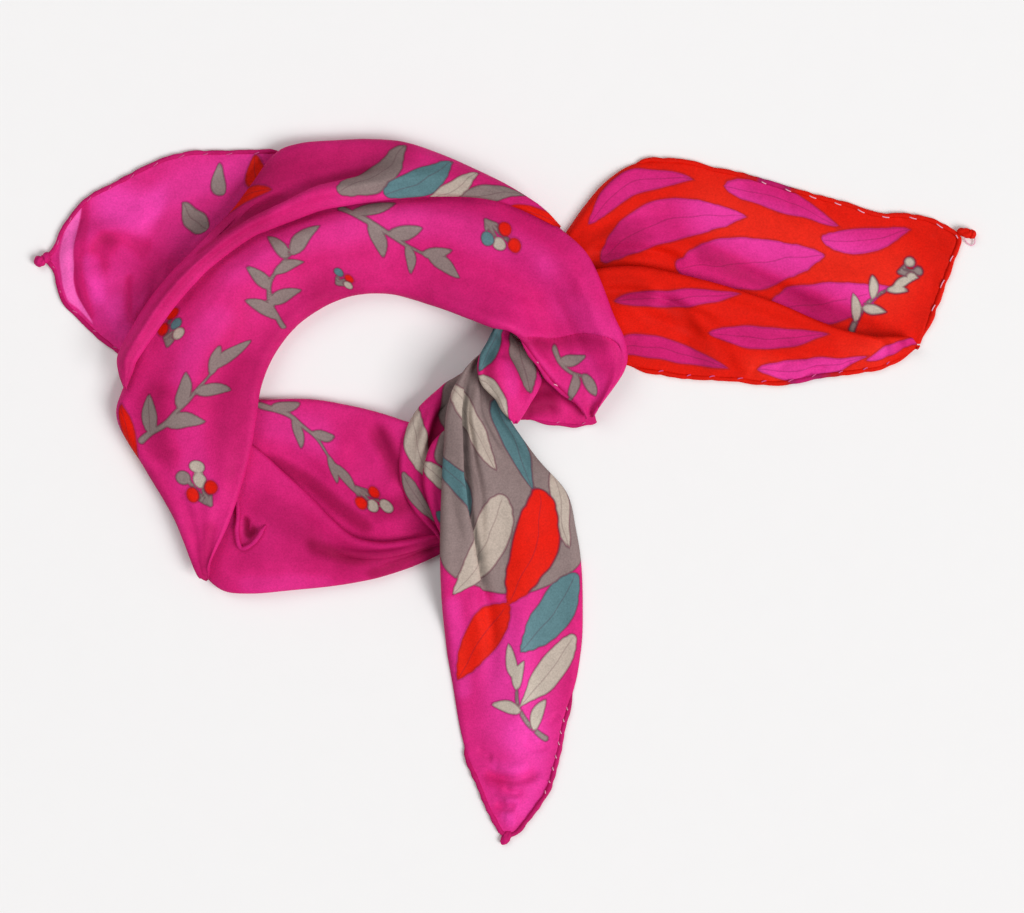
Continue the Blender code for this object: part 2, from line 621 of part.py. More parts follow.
def core_rows(table, first, last, kinds):
    """The rows of a stretch, drawn in to fit under its crown and between its two edges."""
    rows = []
    for row in table[first:last + 1]:
        if kinds == FOLDED:
            edge, height = TUCK, row.left + row.right
        else:
            edge, height = SHOULDER_RUN, min(row.left, row.right)
        left, right = row.left + edge + REACH + GAP, row.right + edge + REACH + GAP
        across = math.radians(row.heading - 90)
        shift = (left - right) / 2
        rows.append(row._replace(
            x=row.x + math.cos(across) * shift,
            y=row.y + math.sin(across) * shift,
            width=row.width - left - right,
            crown=height + row.crown * CORE_CROWN_SHARE - WALL - CORE_DROP,
            peak=row.crown * CORE_RISE,
        ))
    return rows


def main():
    for obj in list(bpy.data.objects):
        bpy.data.objects.remove(obj)
    scarf = Scarf()

    corner = lay_cloth(scarf, "left_corner", LEFT_CORNER, LIGHT_PINK, HEMMED, 6, 6, LEFT_CORNER_FOLDS)
    around = edge_line(corner, 0)[::-1] + end_line(corner, 0) + edge_line(corner, -1, last=4.2)
    lay_hem(scarf, "left_corner_hem", around, PINK)
    lay_nub(scarf, "left_corner_nub", -171.6, 85.0, DEEP_PINK)

    lay_core(scarf, "knot_core", KNOT_CORE, PINK, 8)
    flap = lay_cloth(scarf, "under_flap", UNDER_FLAP, PINK, ("open", "hemmed"), 4, 6)
    lay_hem(scarf, "under_flap_hem", edge_line(flap, -1), PINK)

    tail = lay_cloth(scarf, "right_tail", RIGHT_TAIL, RED, ("hemmed", "open"), 8, 8, RIGHT_TAIL_FOLDS)
    around = edge_line(tail, 0, first=2.6) + end_line(tail, -1)
    lay_hem(scarf, "right_tail_hem", around, DEEP_PINK)
    lay_nub(scarf, "right_tail_nub", 171.9, 94.6, DEEP_PINK)
    front = lay_cloth(scarf, "right_front", RIGHT_FRONT, RED, ("folded", "hemmed"), 6, 8, RIGHT_FRONT_FOLDS)
    lay_hem(scarf, "right_front_hem", edge_line(front, -1, first=1.0), DEEP_PINK)

    lay_cloth(scarf, "lower_band", LOWER_BAND, PINK, ("folded", "open"), 5, 8)
    lay_cloth(scarf, "lower_fold", LOWER_FOLD, PINK, FOLDED, 6, 7)
    lay_core(scarf, "ring_core", core_rows(RING_BAND, *RING_CORE_ROWS, FOLDED), DEEP_PINK, 10)
    lay_cloth(scarf, "knot_wrap", KNOT_WRAP, TAUPE, FOLDED, 4, 6)
    lay_cloth(scarf, "knot_side", KNOT_SIDE, PINK, FOLDED, 3, 6)
    lay_core(scarf, "tail_core", core_rows(HANGING_TAIL, *TAIL_CORE_ROWS, HEMMED), DEEP_PINK, 10)
    tip = lay_cloth(scarf, "hanging_tail", HANGING_TAIL, TAUPE, HEMMED, 8, 7, HANGING_TAIL_FOLDS)
    around = edge_line(tip, 0, first=12.4) + end_line(tip, -1) + edge_line(tip, -1, first=11.4)[::-1]
    lay_hem(scarf, "hanging_tail_hem", around, DEEP_PINK)
    lay_cloth(scarf, "knot_loop", KNOT_LOOP, PINK, FOLDED, 5, 4)
    lay_cloth(scarf, "ring_band", RING_BAND, PINK, FOLDED, 7, 8, RING_BAND_FOLDS)
    lay_cloth(scarf, "outer_fold", OUTER_FOLD, PINK, FOLDED, 7, 7, OUTER_FOLD_FOLDS)


main()
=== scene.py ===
# A 55 cm silk square, folded on its diagonal into a loose roll, tied once and laid on a table.
# Lengths are in millimetres until a mesh is made.

import math

import bmesh
import bpy
import numpy as np
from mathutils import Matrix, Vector, noise
from mathutils.bvhtree import BVHTree


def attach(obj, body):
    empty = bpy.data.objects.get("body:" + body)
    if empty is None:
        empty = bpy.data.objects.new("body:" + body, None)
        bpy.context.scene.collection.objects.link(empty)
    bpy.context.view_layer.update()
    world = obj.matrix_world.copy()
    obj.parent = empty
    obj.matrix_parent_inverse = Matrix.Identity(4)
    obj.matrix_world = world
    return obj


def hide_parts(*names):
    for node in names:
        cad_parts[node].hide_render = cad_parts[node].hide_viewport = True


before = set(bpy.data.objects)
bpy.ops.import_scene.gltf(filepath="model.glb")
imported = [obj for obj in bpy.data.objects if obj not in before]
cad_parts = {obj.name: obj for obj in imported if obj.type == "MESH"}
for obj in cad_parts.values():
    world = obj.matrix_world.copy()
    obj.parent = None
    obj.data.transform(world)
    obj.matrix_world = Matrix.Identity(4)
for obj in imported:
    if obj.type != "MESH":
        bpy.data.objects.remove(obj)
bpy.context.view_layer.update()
bpy.ops.object.select_all(action="DESELECT")
print("frame loaded")

cloth = {
    "wall": 1.2,  # thickness of the solid that each stretch stands for
    "shell": 0.35,  # thickness of the silk, drawn thicker than the real tenth of a millimetre
    "gap": 0.4,  # clearance over what is below
    "tuck": 3.5,  # how far a folded edge turns under
    "reach": 2.6,  # how far round a point the pieces below are felt
    "cell": 0.95,  # size of a mesh cell
    "hem": 1.1,  # half the thickness of the rolled hem
    "intoHem": 1.3,  # how far the silk runs on into its hem
    "middle": (0.15, 0.69),  # of the whole scarf, which goes over the origin
    "mapSpan": 400.0,  # length of cloth that fills the UV map
    "mapFrom": (0.1, 0.5),  # where s = 0 and t = 0 lie on it
    "upward": 0.2,  # a point whose normal rises more than this is on the upper side
    "sidePush": 0.3,  # the share of a crease that the sides and the underside take
    "deep": 0.3,  # a crease deeper than this is kept off what is below
    "clear": 0.15,  # what stays between that crease and what is below
    "overTable": 0.1,  # what stays between the upper side's shell and the table
    "lowest": 0.02,  # the least height over the table
}
far = 99.0  # the distance to a line that isn't there
coarseTurns = {"folded": (-90, -25, 30, 90), "cut": (0, 35, 90)}  # degrees round an edge where points go
fineTurns = {"folded": tuple(range(-90, 91, 15)), "cut": tuple(range(0, 91, 15))}
laidOrder = [  # the solids, each below those after it where they meet
    "left_corner", "left_corner_hem", "left_corner_nub", "knot_core", "under_flap", "under_flap_hem",
    "right_tail", "right_tail_hem", "right_tail_nub", "right_front", "right_front_hem", "lower_band",
    "lower_fold", "ring_core", "knot_wrap", "knot_side", "tail_core", "hanging_tail", "hanging_tail_hem",
    "knot_loop", "ring_band", "outer_fold",
]


# the drape: the same sections as the solids, and the same lift over what is below

def smooth(share):
    share = np.clip(share, 0.0, 1.0)
    return share * share * (3 - 2 * share)


def unit(vectors):
    return vectors / np.maximum(np.linalg.norm(vectors, axis=-1, keepdims=True), 1e-9)


def runOf(steps):
    # the length run at the start and after each step
    return np.concatenate([[0.0], np.cumsum(steps)])


def sectionTable(rows):
    table = []
    for x, y, heading, width, crown, peak, left, right in rows:
        across = math.radians(heading - 90)
        stepX, stepY = math.cos(across) * width / 2, math.sin(across) * width / 2
        table.append([x - stepX, y - stepY, x + stepX, y + stepY, crown, peak, left, right])
    return np.array(table)


def blended(table, place):
    # a smooth curve through the rows, read at any place between them
    first = min(int(place), len(table) - 2)
    a, b, c, d = (table[min(max(first + step, 0), len(table) - 1)] for step in (-1, 0, 1, 2))
    f = place - first
    return b + 0.5 * f * (c - a + f * (2 * a - 5 * b + 4 * c - d + f * (3 * (b - c) + d - a)))


def evenPlaces(table, spacing):
    fine = 12  # steps between two rows while their lengths are added up
    places = np.arange((len(table) - 1) * fine + 1) / fine
    middles = np.array([(v[0:2] + v[2:4]) / 2 for v in (blended(table, place) for place in places)])
    run = runOf(np.linalg.norm(np.diff(middles, axis=0), axis=1))
    count = max(round(run[-1] / spacing), len(table) // 2, 2)
    return np.interp(np.linspace(0, run[-1], count + 1), run, places)


edgeForm = {
    "roundest": 0.3,  # the most that a folded edge's radius is, as a share of the width
    "longestTuck": 0.2,  # the most that its tuck is, in the same way
    "rolledFrom": 2,  # a cut edge with this radius or more has no wall of its own
    "nose": 0.6,  # how much farther than its radius a cut edge rounds in
}


def edgeProfile(kind, radius, width, turns, inset):
    if kind == "folded":
        radius = min(radius, edgeForm["roundest"] * width)
        tuck = min(cloth["tuck"], edgeForm["longestTuck"] * width)
        angles = np.radians(turns["folded"])
        arc = np.stack([radius - radius * np.cos(angles), radius + radius * np.sin(angles)], axis=1)
        return np.concatenate([[[radius + tuck, 0.0]], arc])
    thin = 1 - smooth(radius / edgeForm["rolledFrom"])
    inset = inset * thin if kind == "hemmed" else 0.0
    angles = np.radians(turns["cut"])
    height = cloth["wall"] * thin + radius * np.sin(angles)
    return np.stack([inset + (radius + edgeForm["nose"]) * (1 - np.cos(angles)), height], axis=1)


def sectionPoints(values, place, piece, tops, turns, inset):
    leftX, leftY, rightX, rightY, crown, peak, left, right = values
    width = math.hypot(rightX - leftX, rightY - leftY)
    leftSide = edgeProfile(piece["edges"][0], left, width, turns, inset)
    rightSide = edgeProfile(piece["edges"][1], right, width, turns, inset)
    (start, startZ), (end, endZ) = leftSide[-1], rightSide[-1]
    share = np.arange(1, tops + 1) / (tops + 1)
    u = 2 * share - 1
    off = np.where(u > peak, (u - peak) / (1 - peak), (peak - u) / (1 + peak))
    height = startZ + (endZ - startZ) * smooth(share) + crown * (1 - smooth(off))
    for first, last, uFirst, uLast, rise, spread in piece.get("folds", ()):
        part = (place - first) / (last - first)
        if 0 < part < 1:
            beside = (u - uFirst - (uLast - uFirst) * part) * width / 2 / spread
            height = height + rise * np.exp(-beside * beside) * smooth(4 * part * (1 - part))
    height = np.maximum(height, cloth["wall"] * (1 - smooth(np.abs(u))))
    distance = np.concatenate([leftSide[:, 0], start + (width - end - start) * share,
                               width - rightSide[::-1, 0]])
    part = distance / width
    return np.stack([leftX + (rightX - leftX) * part, leftY + (rightY - leftY) * part,
                     np.concatenate([leftSide[:, 1], height, rightSide[::-1, 1]]), 2 * part - 1], axis=1)


def gridNormals(grid):
    along, across = np.gradient(grid, axis=0), np.gradient(grid, axis=1)
    normals = unit(np.cross(across, along))
    return -normals if normals[len(grid) // 2, grid.shape[1] // 2, 2] < 0 else normals


def solidsTree(names):
    points, faces = [], []
    for name in names:
        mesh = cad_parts[name].data
        first = len(points)
        points += [(v.co.x * 1000 + cloth["middle"][0], v.co.y * 1000 + cloth["middle"][1], v.co.z * 1000)
                   for v in mesh.vertices]
        faces += [tuple(first + index for index in face.vertices) for face in mesh.polygons]
    return BVHTree.FromPolygons(points, faces) if faces else None


def topOf(tree, x, y):
    # the height of what is below, or under zero where there is nothing
    aboveAll = 200.0
    hit = tree.ray_cast(Vector((x, y, aboveAll)), Vector((0, 0, -1)))[0] if tree else None
    return -1.0 if hit is None else hit.z


def support(tree, x, y, reach):
    # the highest of what is below a point and two rings round it
    found = topOf(tree, x, y)
    for ring in (0.5, 1.0):
        for step in range(8):
            angle = math.tau * (step + ring) / 8
            beside, ahead = ring * reach * math.cos(angle), ring * reach * math.sin(angle)
            found = max(found, topOf(tree, x + beside, y + ahead))
    return found


liftForm = {
    "carries": 0.25,  # a point whose normal rises less than this has no thickness to keep clear
    "steepest": 0.6,  # a wall's height grows with its slope down to this
    "spread": 2,  # rows and columns each way over which a lift is widened and then evened out
}


def liftTable(piece, table, tree, runOn):
    # how far each part of a sheet is lifted, in a coarse table of rows and columns
    places = evenPlaces(table, piece["spacing"])
    inset = 2 * cloth["hem"] + cloth["gap"]
    grid = np.array([sectionPoints(blended(table, p), p - runOn, piece, piece["tops"], coarseTurns, inset)
                     for p in places])
    facing = gridNormals(grid[:, :, :3])[:, :, 2]
    columns = 2 * piece["tops"] + 5
    need = np.zeros((len(places), columns))
    for i in range(grid.shape[0]):
        for j in range(grid.shape[1]):
            x, y, z, u = grid[i, j]
            below = support(tree, x, y, cloth["reach"])
            if below < 0:
                continue
            body = 0.0
            if facing[i, j] > liftForm["carries"]:
                body = cloth["wall"] / max(facing[i, j], liftForm["steepest"])
            column = min(max((u + 1) / 2, 0.0), 1.0) * (columns - 1)
            for k in (int(column), min(int(column) + 1, columns - 1)):
                need[i, k] = max(need[i, k], below + cloth["gap"] + body - z)
    back, on = liftForm["spread"], liftForm["spread"] + 1
    for pick in (np.max, np.mean):
        need = np.array([[pick(need[max(i - back, 0):i + on, max(k - back, 0):k + on])
                          for k in range(columns)] for i in range(len(places))])
    return places, need


def softLookup(table, i, k):
    # a cubic spline through the lifts, so that no step of the coarse table shows
    def weights(f):
        return ((1 - f) ** 3 / 6, (3 * f ** 3 - 6 * f ** 2 + 4) / 6,
                (1 + 3 * f + 3 * f ** 2 - 3 * f ** 3) / 6, f ** 3 / 6)
    a, b = np.floor(i).astype(int), np.floor(k).astype(int)
    total = 0.0
    for m, rowWeight in enumerate(weights(i - a)):
        for n, columnWeight in enumerate(weights(k - b)):
            rows = np.clip(a + m - 1, 0, table.shape[0] - 1)
            columns = np.clip(b + n - 1, 0, table.shape[1] - 1)
            total = total + rowWeight * columnWeight * table[rows, columns]
    return total


# the dyes: each is a field of millimetres to the edge of its colour, under zero inside it

def curvePoints(path):
    if len(path) == 2:
        return np.array(path, float)
    table = np.array(path, float)
    return np.array([blended(table, place) for place in np.arange((len(path) - 1) * 5 + 1) / 5])


widthShapes = {  # of a stroke, from its start to its end
    "even": lambda q: np.ones_like(q),
    "taper": lambda q: 1 - 0.6 * q,
    "leaf": lambda q: np.sin(np.pi * np.clip(q, 0, 1) ** 0.8) ** 0.8,
}


def nearLine(s, t, path):
    # distance to a line, its side, how far along it the nearest point is and the way, segment by segment
    points = curvePoints(path)
    lengths = np.linalg.norm(np.diff(points, axis=0), axis=1)
    marks = runOf(lengths) / max(lengths.sum(), 1e-6)
    for (a, b), length, q0, q1 in zip(zip(points, points[1:]), lengths, marks, marks[1:]):
        way = (b - a) / max(length, 1e-6)
        along = np.clip((s - a[0]) * way[0] + (t - a[1]) * way[1], 0, length)
        offS, offT = s - a[0] - along * way[0], t - a[1] - along * way[1]
        side = np.sign(way[0] * offT - way[1] * offS)
        yield np.hypot(offS, offT), side, q0 + (q1 - q0) * along / max(length, 1e-6), way


def strokeField(s, t, path, halfWidth, shape):
    field, axis = np.full(s.shape, far), np.full(s.shape, far)
    for distance, side, q, way in nearLine(s, t, path):
        part = distance - halfWidth * widthShapes[shape](q)
        axis = np.where(part < field, side * distance, axis)
        field = np.minimum(field, part)
    return field, axis


def directions(turn):
    way = np.array([math.cos(math.radians(turn)), math.sin(math.radians(turn))])
    return way, np.array([-way[1], way[0]])


sprigForm = {
    "stem": 1.15,  # half width of the stem
    "firstLeaf": 0.55,  # where the first leaf grows, in spaces between leaves
    "shrink": 0.06,  # how much shorter each leaf is than the one before, as a share of the first
    "bow": ((0.42, 0.34), (0.72, 0.76)),  # a leaf's middle and tip, ahead and aside, in leaf lengths
    "leafHalf": 0.2,  # half width of a leaf, in its own length
    "endHalf": 0.19,  # and of the leaf at the end
    "endBend": 0.3,  # how far its middle bends, as a share of its tip
}


def sprig(s, t, turn, length, bend, leaf, count, colours):
    # a stem with leaves on alternate sides and one at its end
    way, side = directions(turn)

    def onStem(f):
        return np.array([s, t]) + way * length * f + side * bend * 4 * f * (1 - f)

    strokes = [("grey", [onStem(f) for f in (0, 0.33, 0.67, 1)], sprigForm["stem"], "taper")]
    for index in range(count):
        base = onStem((index + sprigForm["firstLeaf"]) / count)
        hand = 1 if index % 2 else -1
        size = leaf * (1 - sprigForm["shrink"] * index)
        bow = [base + way * size * ahead + side * hand * size * aside for ahead, aside in sprigForm["bow"]]
        strokes.append((colours[index % len(colours)], [base, *bow], size * sprigForm["leafHalf"], "leaf"))
    end = onStem(1)
    middle = end + way * leaf * 0.5 - side * bend * sprigForm["endBend"]
    tip = end + way * leaf - side * bend
    strokes.append((colours[0], [end - way, middle, tip], leaf * sprigForm["endHalf"], "leaf"))
    return strokes


def berries(s, t, turn, radius, colours):
    # a loose bunch of berries on short stalks from one point
    places = ((2.4, -1.6), (3.5, 0.5), (2.0, 1.5), (4.9, -1.3), (5.3, 1.4))  # ahead and aside, in radii
    stalkHalf = 0.75
    way, side = directions(turn)
    spots = [np.array([s, t]) + (way * a + side * b) * radius for a, b in places[:len(colours)]]
    stalks = [("grey", [(s, t), spot], stalkHalf, "even") for spot in spots]
    return stalks + [(colour, [spot, spot + 0.1], radius, "even") for colour, spot in zip(colours, spots)]


dyes = ("red", "grey", "silver", "teal", "veil")
dyeForm = {
    "wave": 9,  # length of the waves in a painted edge
    "wander": 0.9,  # how far they take it
    "plain": 9.0,  # the field where there is no stroke and no vein
    "deepest": 6,  # the most that a field is, either way
    "veinFrom": 2.9,  # the half width from which a leaf has a vein
    "veinEdge": 0.5,  # how far past its leaf the vein's field goes
    "toneReach": 1.25,  # how many radii out a patch of tone has faded
    "darkest": -1.8,  # the least tone, with its painted shade
}


def dyeFields(s, t, strokes):
    # painted in order, each stroke over those before it, and the ground colour takes dye away
    wave, plain = dyeForm["wave"], dyeForm["plain"]
    wander = np.array([[noise.noise(Vector((a / wave, b / wave, layer))) for a, b in zip(s, t)]
                       for layer in (3, 7)])
    s, t = s + dyeForm["wander"] * wander[0], t + dyeForm["wander"] * wander[1]
    fields = {dye: np.full(s.shape, plain) for dye in dyes}
    rib = np.full(s.shape, plain)
    for colour, path, halfWidth, shape in strokes:
        stroke, axis = strokeField(s, t, path, halfWidth, shape)
        for dye in dyes:
            if dye == colour:
                fields[dye] = np.minimum(fields[dye], stroke)
            else:
                fields[dye] = np.maximum(fields[dye], -stroke)
        veined = shape == "leaf" and halfWidth > dyeForm["veinFrom"] and colour != "veil"
        rib = np.where(stroke < dyeForm["veinEdge"], axis if veined else plain, rib)
    fields = {dye: np.clip(field, -dyeForm["deepest"], dyeForm["deepest"]) for dye, field in fields.items()}
    fields["rib"] = rib
    return fields


# materials

def linear(code, strength=1.0):
    values = [int(code[i:i + 2], 16) / 255 for i in (1, 3, 5)]
    values = [v / 12.92 if v <= 0.04045 else ((v + 0.055) / 1.055) ** 2.4 for v in values]
    return (*[v * strength for v in values], 1.0)


def addNode(tree, kind, values=None, out=0, **settings):
    # adds a node whose values are numbers, colours or other nodes' outputs, and gives one of its outputs
    node = tree.nodes.new("ShaderNode" + kind)
    for key, value in settings.items():
        setattr(node, key, value)
    for key, value in (values or {}).items():
        if isinstance(value, bpy.types.NodeSocket):
            tree.links.new(value, node.inputs[key])
        else:
            node.inputs[key].default_value = value
    return node.outputs[out]


scaled = {"operation": "MULTIPLY_ADD"}  # a Math node that scales and shifts
mixed = {"out": 2, "data_type": "RGBA"}  # a Mix node for colours: 0 is the share, 6 and 7 the colours


def newMaterial(name, values):
    material = bpy.data.materials.new(name)
    material.use_nodes = True
    shader = material.node_tree.nodes["Principled BSDF"]
    for key, value in values.items():
        shader.inputs[key].default_value = value
    return material, material.node_tree, shader.inputs


silkLook = {
    "ground": "#da267b",  # fuchsia acid dye
    "groundDeep": "#cb1c6c",
    "groundPale": "#f040a8",  # one layer only, with the pale table showing through, and painted highlight on lit crowns
    "groundPaintedShade": "#a60b44",  # painted shade in creases, hollows and under other layers, and many layers deep, where the dye looks crimson
    "veil": "#f663b9",  # a paler wash of the same dye
    "red": ("#df190a", "#ec2c1c"),  # each dye plain, and where it is pale or has painted highlight
    "grey": ("#8b7876", "#9c8a88"),
    "silver": ("#b9aa9e", "#c8bcae"),
    "teal": ("#587b81", "#6b8e96"),
    "gathered": (0.09, 0.012, 0.035, 1),  # linear colour of the dye where it gathered at the resist line
    "outlines": {"bright": (1.5, 0.34), "muted": (1.0, 0.5), "rib": (0.6, 0.3)},  # width, and how dark
    "outlineHalf": 0.32,  # millimetres, for a width of one
    "clouds": (24.0, 3.0, 0.55),  # how many a metre, detail and roughness: about 42 mm each
    "mottles": (240.0, 4.0, 0.7),  # about 4 mm
    "grain": (1500.0, 2.0, 0.6),  # about 0.7 mm
    "roughness": 0.6,
    "roughnessVaries": 0.16,
    "gloss": 0.07,  # specular level
    "threads": 0.8,  # real threads lie 0.1 mm apart, drawn 0.8 mm apart so that they show
    "bands": 3.14,  # about how many bands a wave texture of scale 1 has to a unit
    "twillTurn": 63,  # degrees
    "twill": {"Distortion": 1.2, "Detail": 2.0, "Detail Scale": 2.0},
    "twillRelief": 0.35,  # where the grain's is one
    "relief": {"Strength": 0.22, "Distance": 0.0002},
    "outlineFade": (0.4, 1.9),  # an outline fades between these, in half widths
    # input 1 of a Math node multiplies a field, and input 2 is added to it
    "groundMix": {1: 2.6, 2: -0.8},  # of the clouds, to mix the two grounds
    "cloudTone": {1: 0.5, 2: -0.25},  # of the clouds, added to the tone
    "veilEdge": {1: -1.6, 2: 0.5},  # how soft the veil's edge is
    "dyeEdge": {1: -5.0, 2: 0.5},  # and that of the other dyes
    "mottleShade": {1: 0.34, 2: 0.54},  # how much the mottles darken the cloth
    "grainShade": 0.58,  # and the grain
    "paintedShadeStrength": -0.42,  # and painted shade where the tone is below zero: creases, hollows, under other layers and many layers deep
    "shade": 1.0,  # how light the whole cloth is
}


def silkMaterial(name, look):
    # hand-dyed silk twill: soft broad gloss, a fine diagonal grain and clouded colour, with painted shade and
    # painted highlight from the tone
    material, tree, inputs = newMaterial(name, {"IOR": 1.5, "Specular IOR Level": look["gloss"]})
    place = addNode(tree, "TexCoord", out="Object")
    cloud, mottle, grain = (
        addNode(tree, "TexNoise", {"Vector": place, "Scale": many, "Detail": fine, "Roughness": rough}, "Fac")
        for many, fine, rough in (look["clouds"], look["mottles"], look["grain"]))
    field = {key: addNode(tree, "Attribute", out="Fac", attribute_name=key) for key in (*dyes, "rib", "tone")}

    shade = addNode(tree, "Math", {0: cloud, **look["groundMix"]}, **scaled)
    cloudy = addNode(tree, "Math", {0: cloud, **look["cloudTone"]}, **scaled)
    tone = addNode(tree, "Math", {0: field["tone"], 1: cloudy}, operation="ADD")
    # below zero the tone is painted shade: it mixes the ground towards the deeper crimson
    dark = addNode(tree, "Math", {0: tone, 1: -1.0}, operation="MULTIPLY")
    veil = addNode(tree, "Math", {0: field["veil"], **look["veilEdge"]}, **scaled)
    colour = linear(look["groundDeep"])
    for share, over in ((shade, "ground"), (tone, "groundPale"), (dark, "groundPaintedShade"), (veil, "veil")):
        colour = addNode(tree, "Mix", {0: share, 6: colour, 7: linear(look[over])}, **mixed)

    nearest = {"rib": addNode(tree, "Math", {0: field["rib"]}, operation="ABSOLUTE")}
    for dye in ("grey", "silver", "teal", "red"):
        inside = addNode(tree, "Math", {0: field[dye], **look["dyeEdge"]}, **scaled, use_clamp=True)
        plain, pale = look[dye]
        tint = addNode(tree, "Mix", {0: tone, 6: linear(plain), 7: linear(pale)}, **mixed)
        colour = addNode(tree, "Mix", {0: inside, 6: colour, 7: tint}, **mixed)
        distance = addNode(tree, "Math", {0: field[dye]}, operation="ABSOLUTE")
        kind = "bright" if dye == "red" else "muted"
        if kind in nearest:
            distance = addNode(tree, "Math", {0: nearest[kind], 1: distance}, operation="MINIMUM")
        nearest[kind] = distance
    fadeFrom, fadeTo = look["outlineFade"]
    for kind, (wide, depth) in look["outlines"].items():
        width = look["outlineHalf"] * wide
        edge = addNode(tree, "MapRange", {"Value": nearest[kind], "From Min": width * fadeFrom,
                                          "From Max": width * fadeTo, "To Min": depth, "To Max": 0.0},
                       interpolation_type="SMOOTHSTEP")
        colour = addNode(tree, "Mix", {0: edge, 6: colour, 7: look["gathered"]}, **mixed)

    # painted shade: where the tone is below zero every colour, the dyes too, is darkened
    deep = addNode(tree, "Math", {0: dark, 1: look["paintedShadeStrength"], 2: look["shade"]}, **scaled)
    deep = addNode(tree, "Math", {0: deep, 1: look["shade"]}, operation="MINIMUM")
    speck = addNode(tree, "Math", {0: mottle, **look["mottleShade"]}, **scaled)
    speck = addNode(tree, "Math", {0: grain, 1: look["grainShade"], 2: speck}, **scaled)
    speck = addNode(tree, "Math", {0: speck, 1: deep}, operation="MULTIPLY")
    speck = addNode(tree, "CombineColor", {"Red": speck, "Green": speck, "Blue": speck})
    colour = addNode(tree, "Mix", {0: 1.0, 6: colour, 7: speck}, **mixed, blend_type="MULTIPLY")
    varies = look["roughnessVaries"]
    rough = addNode(tree, "Math", {0: mottle, 1: varies, 2: look["roughness"] - varies / 2}, **scaled)

    flat = addNode(tree, "UVMap", out="UV", uv_map="flat")
    turned = addNode(tree, "Mapping", {"Vector": flat, "Rotation": (0, 0, math.radians(look["twillTurn"])),
                                       "Scale": (cloth["mapSpan"],) * 3})
    twill = addNode(tree, "TexWave", {"Vector": turned, "Scale": 1 / look["threads"] / look["bands"],
                                      **look["twill"]}, "Fac")
    relief = addNode(tree, "Math", {0: twill, 1: look["twillRelief"], 2: grain}, **scaled)
    bump = addNode(tree, "Bump", {"Height": relief, **look["relief"]})
    for key, value in (("Base Color", colour), ("Roughness", rough), ("Normal", bump)):
        tree.links.new(value, inputs[key])
    return material


def mottledMaterial(name, values, colours, noises, relief=None):
    # two colours mixed by the first noise and a relief from the last; a noise is how many a metre, and detail
    material, tree, inputs = newMaterial(name, values)
    place = addNode(tree, "TexCoord", out="Object")
    fields = [addNode(tree, "TexNoise", {"Vector": place, "Scale": many, "Detail": fine}, "Fac")
              for many, fine in noises]
    colour = addNode(tree, "Mix", {0: fields[0], 6: colours[0], 7: colours[1]}, **mixed)
    tree.links.new(colour, inputs["Base Color"])
    if relief:
        bump = addNode(tree, "Bump", {"Height": fields[-1], "Strength": relief[0], "Distance": relief[1]})
        tree.links.new(bump, inputs["Normal"])
    return material


def threadMaterial(name, dark, pale):
    # spun silk sewing thread, a little glossy
    return mottledMaterial(name, {"Roughness": 0.45, "Sheen Weight": 0.2}, (linear(dark), linear(pale)),
                           [(2200.0, 2.0)], (0.3, 0.0001))


silk = silkMaterial("handDyedSilkTwill", silkLook)
hemSilk = silkMaterial("rolledSilkHem", {
    **silkLook, "ground": "#ce1f72", "groundDeep": "#bb1762", "shade": 0.97})
threads = {"dyed": threadMaterial("dyedSilkThread", "#c02a76", "#e0569c"),
           "pale": threadMaterial("paleSilkThread", "#dd7fa6", "#f6c3d6")}
print("materials made")


# making a stretch of cloth

sheets = {}


def toMetres(points):
    middle = np.array([*cloth["middle"], 0.0])
    return (np.asarray(points) - middle) / 1000


def closedShell(grid, thickness):
    rows, columns = grid.shape[:2]
    count = rows * columns
    normals = gridNormals(grid)
    inner = grid - normals * thickness
    inner[:, :, 2] = np.maximum(inner[:, :, 2], cloth["lowest"])
    points = np.concatenate([grid.reshape(-1, 3), inner.reshape(-1, 3)])
    index = np.arange(count).reshape(rows, columns)
    corners = [index[:-1, :-1], index[:-1, 1:], index[1:, 1:], index[1:, :-1]]
    outer = np.stack(corners, axis=-1).reshape(-1, 4)
    ring = np.concatenate([index[0], index[1:, -1], index[-1, -2::-1], index[-2:0:-1, 0]])
    after = np.roll(ring, -1)
    border = np.stack([after, ring, count + ring, count + after], axis=-1)
    faces = np.concatenate([outer, outer[:, ::-1] + count, border])
    middle = outer[len(outer) // 2]
    a, b, _, d = points[middle]
    facing = np.cross(b - a, d - a)
    return points, faces if np.dot(facing, normals.reshape(-1, 3)[middle[0]]) >= 0 else faces[:, ::-1]


def addFields(mesh, fields):
    for key, values in fields.items():
        layer = mesh.attributes.new(key, "FLOAT", "POINT")
        layer.data.foreach_set("value", np.asarray(values, np.float32))


def meshObject(name, points, faces, material, fields=None, flat=None):
    mesh = bpy.data.meshes.new(name)
    mesh.from_pydata(toMetres(points).tolist(), [], [tuple(int(i) for i in face) for face in faces])
    mesh.validate()
    addFields(mesh, fields or {})
    if flat is not None:
        layer = mesh.uv_layers.new(name="flat")
        loops = np.zeros(len(mesh.loops), np.int32)
        mesh.loops.foreach_get("vertex_index", loops)
        values = flat[loops] / cloth["mapSpan"] + np.array(cloth["mapFrom"])
        layer.data.foreach_set("uv", values.astype(np.float32).ravel())
    mesh.shade_smooth()
    mesh.materials.append(material)
    obj = bpy.data.objects.new(name, mesh)
    bpy.context.scene.collection.objects.link(obj)
    return obj


def toneAndShadingField(s, t, patches):
    # above zero where the dye is paler, or a highlight is painted on a lit crown; below zero where it is
    # deeper, or shade is painted in creases, hollows and under other layers
    field = np.zeros(s.shape)
    for path, radius, strength in patches:
        near = np.full(s.shape, far)
        for distance, *_ in nearLine(s, t, path):
            near = np.minimum(near, distance)
        field += strength * smooth(dyeForm["toneReach"] - near / radius)
    return np.clip(field, -1, 1)


creaseEnds = 5  # the higher, the sooner a crease is whole from its ends


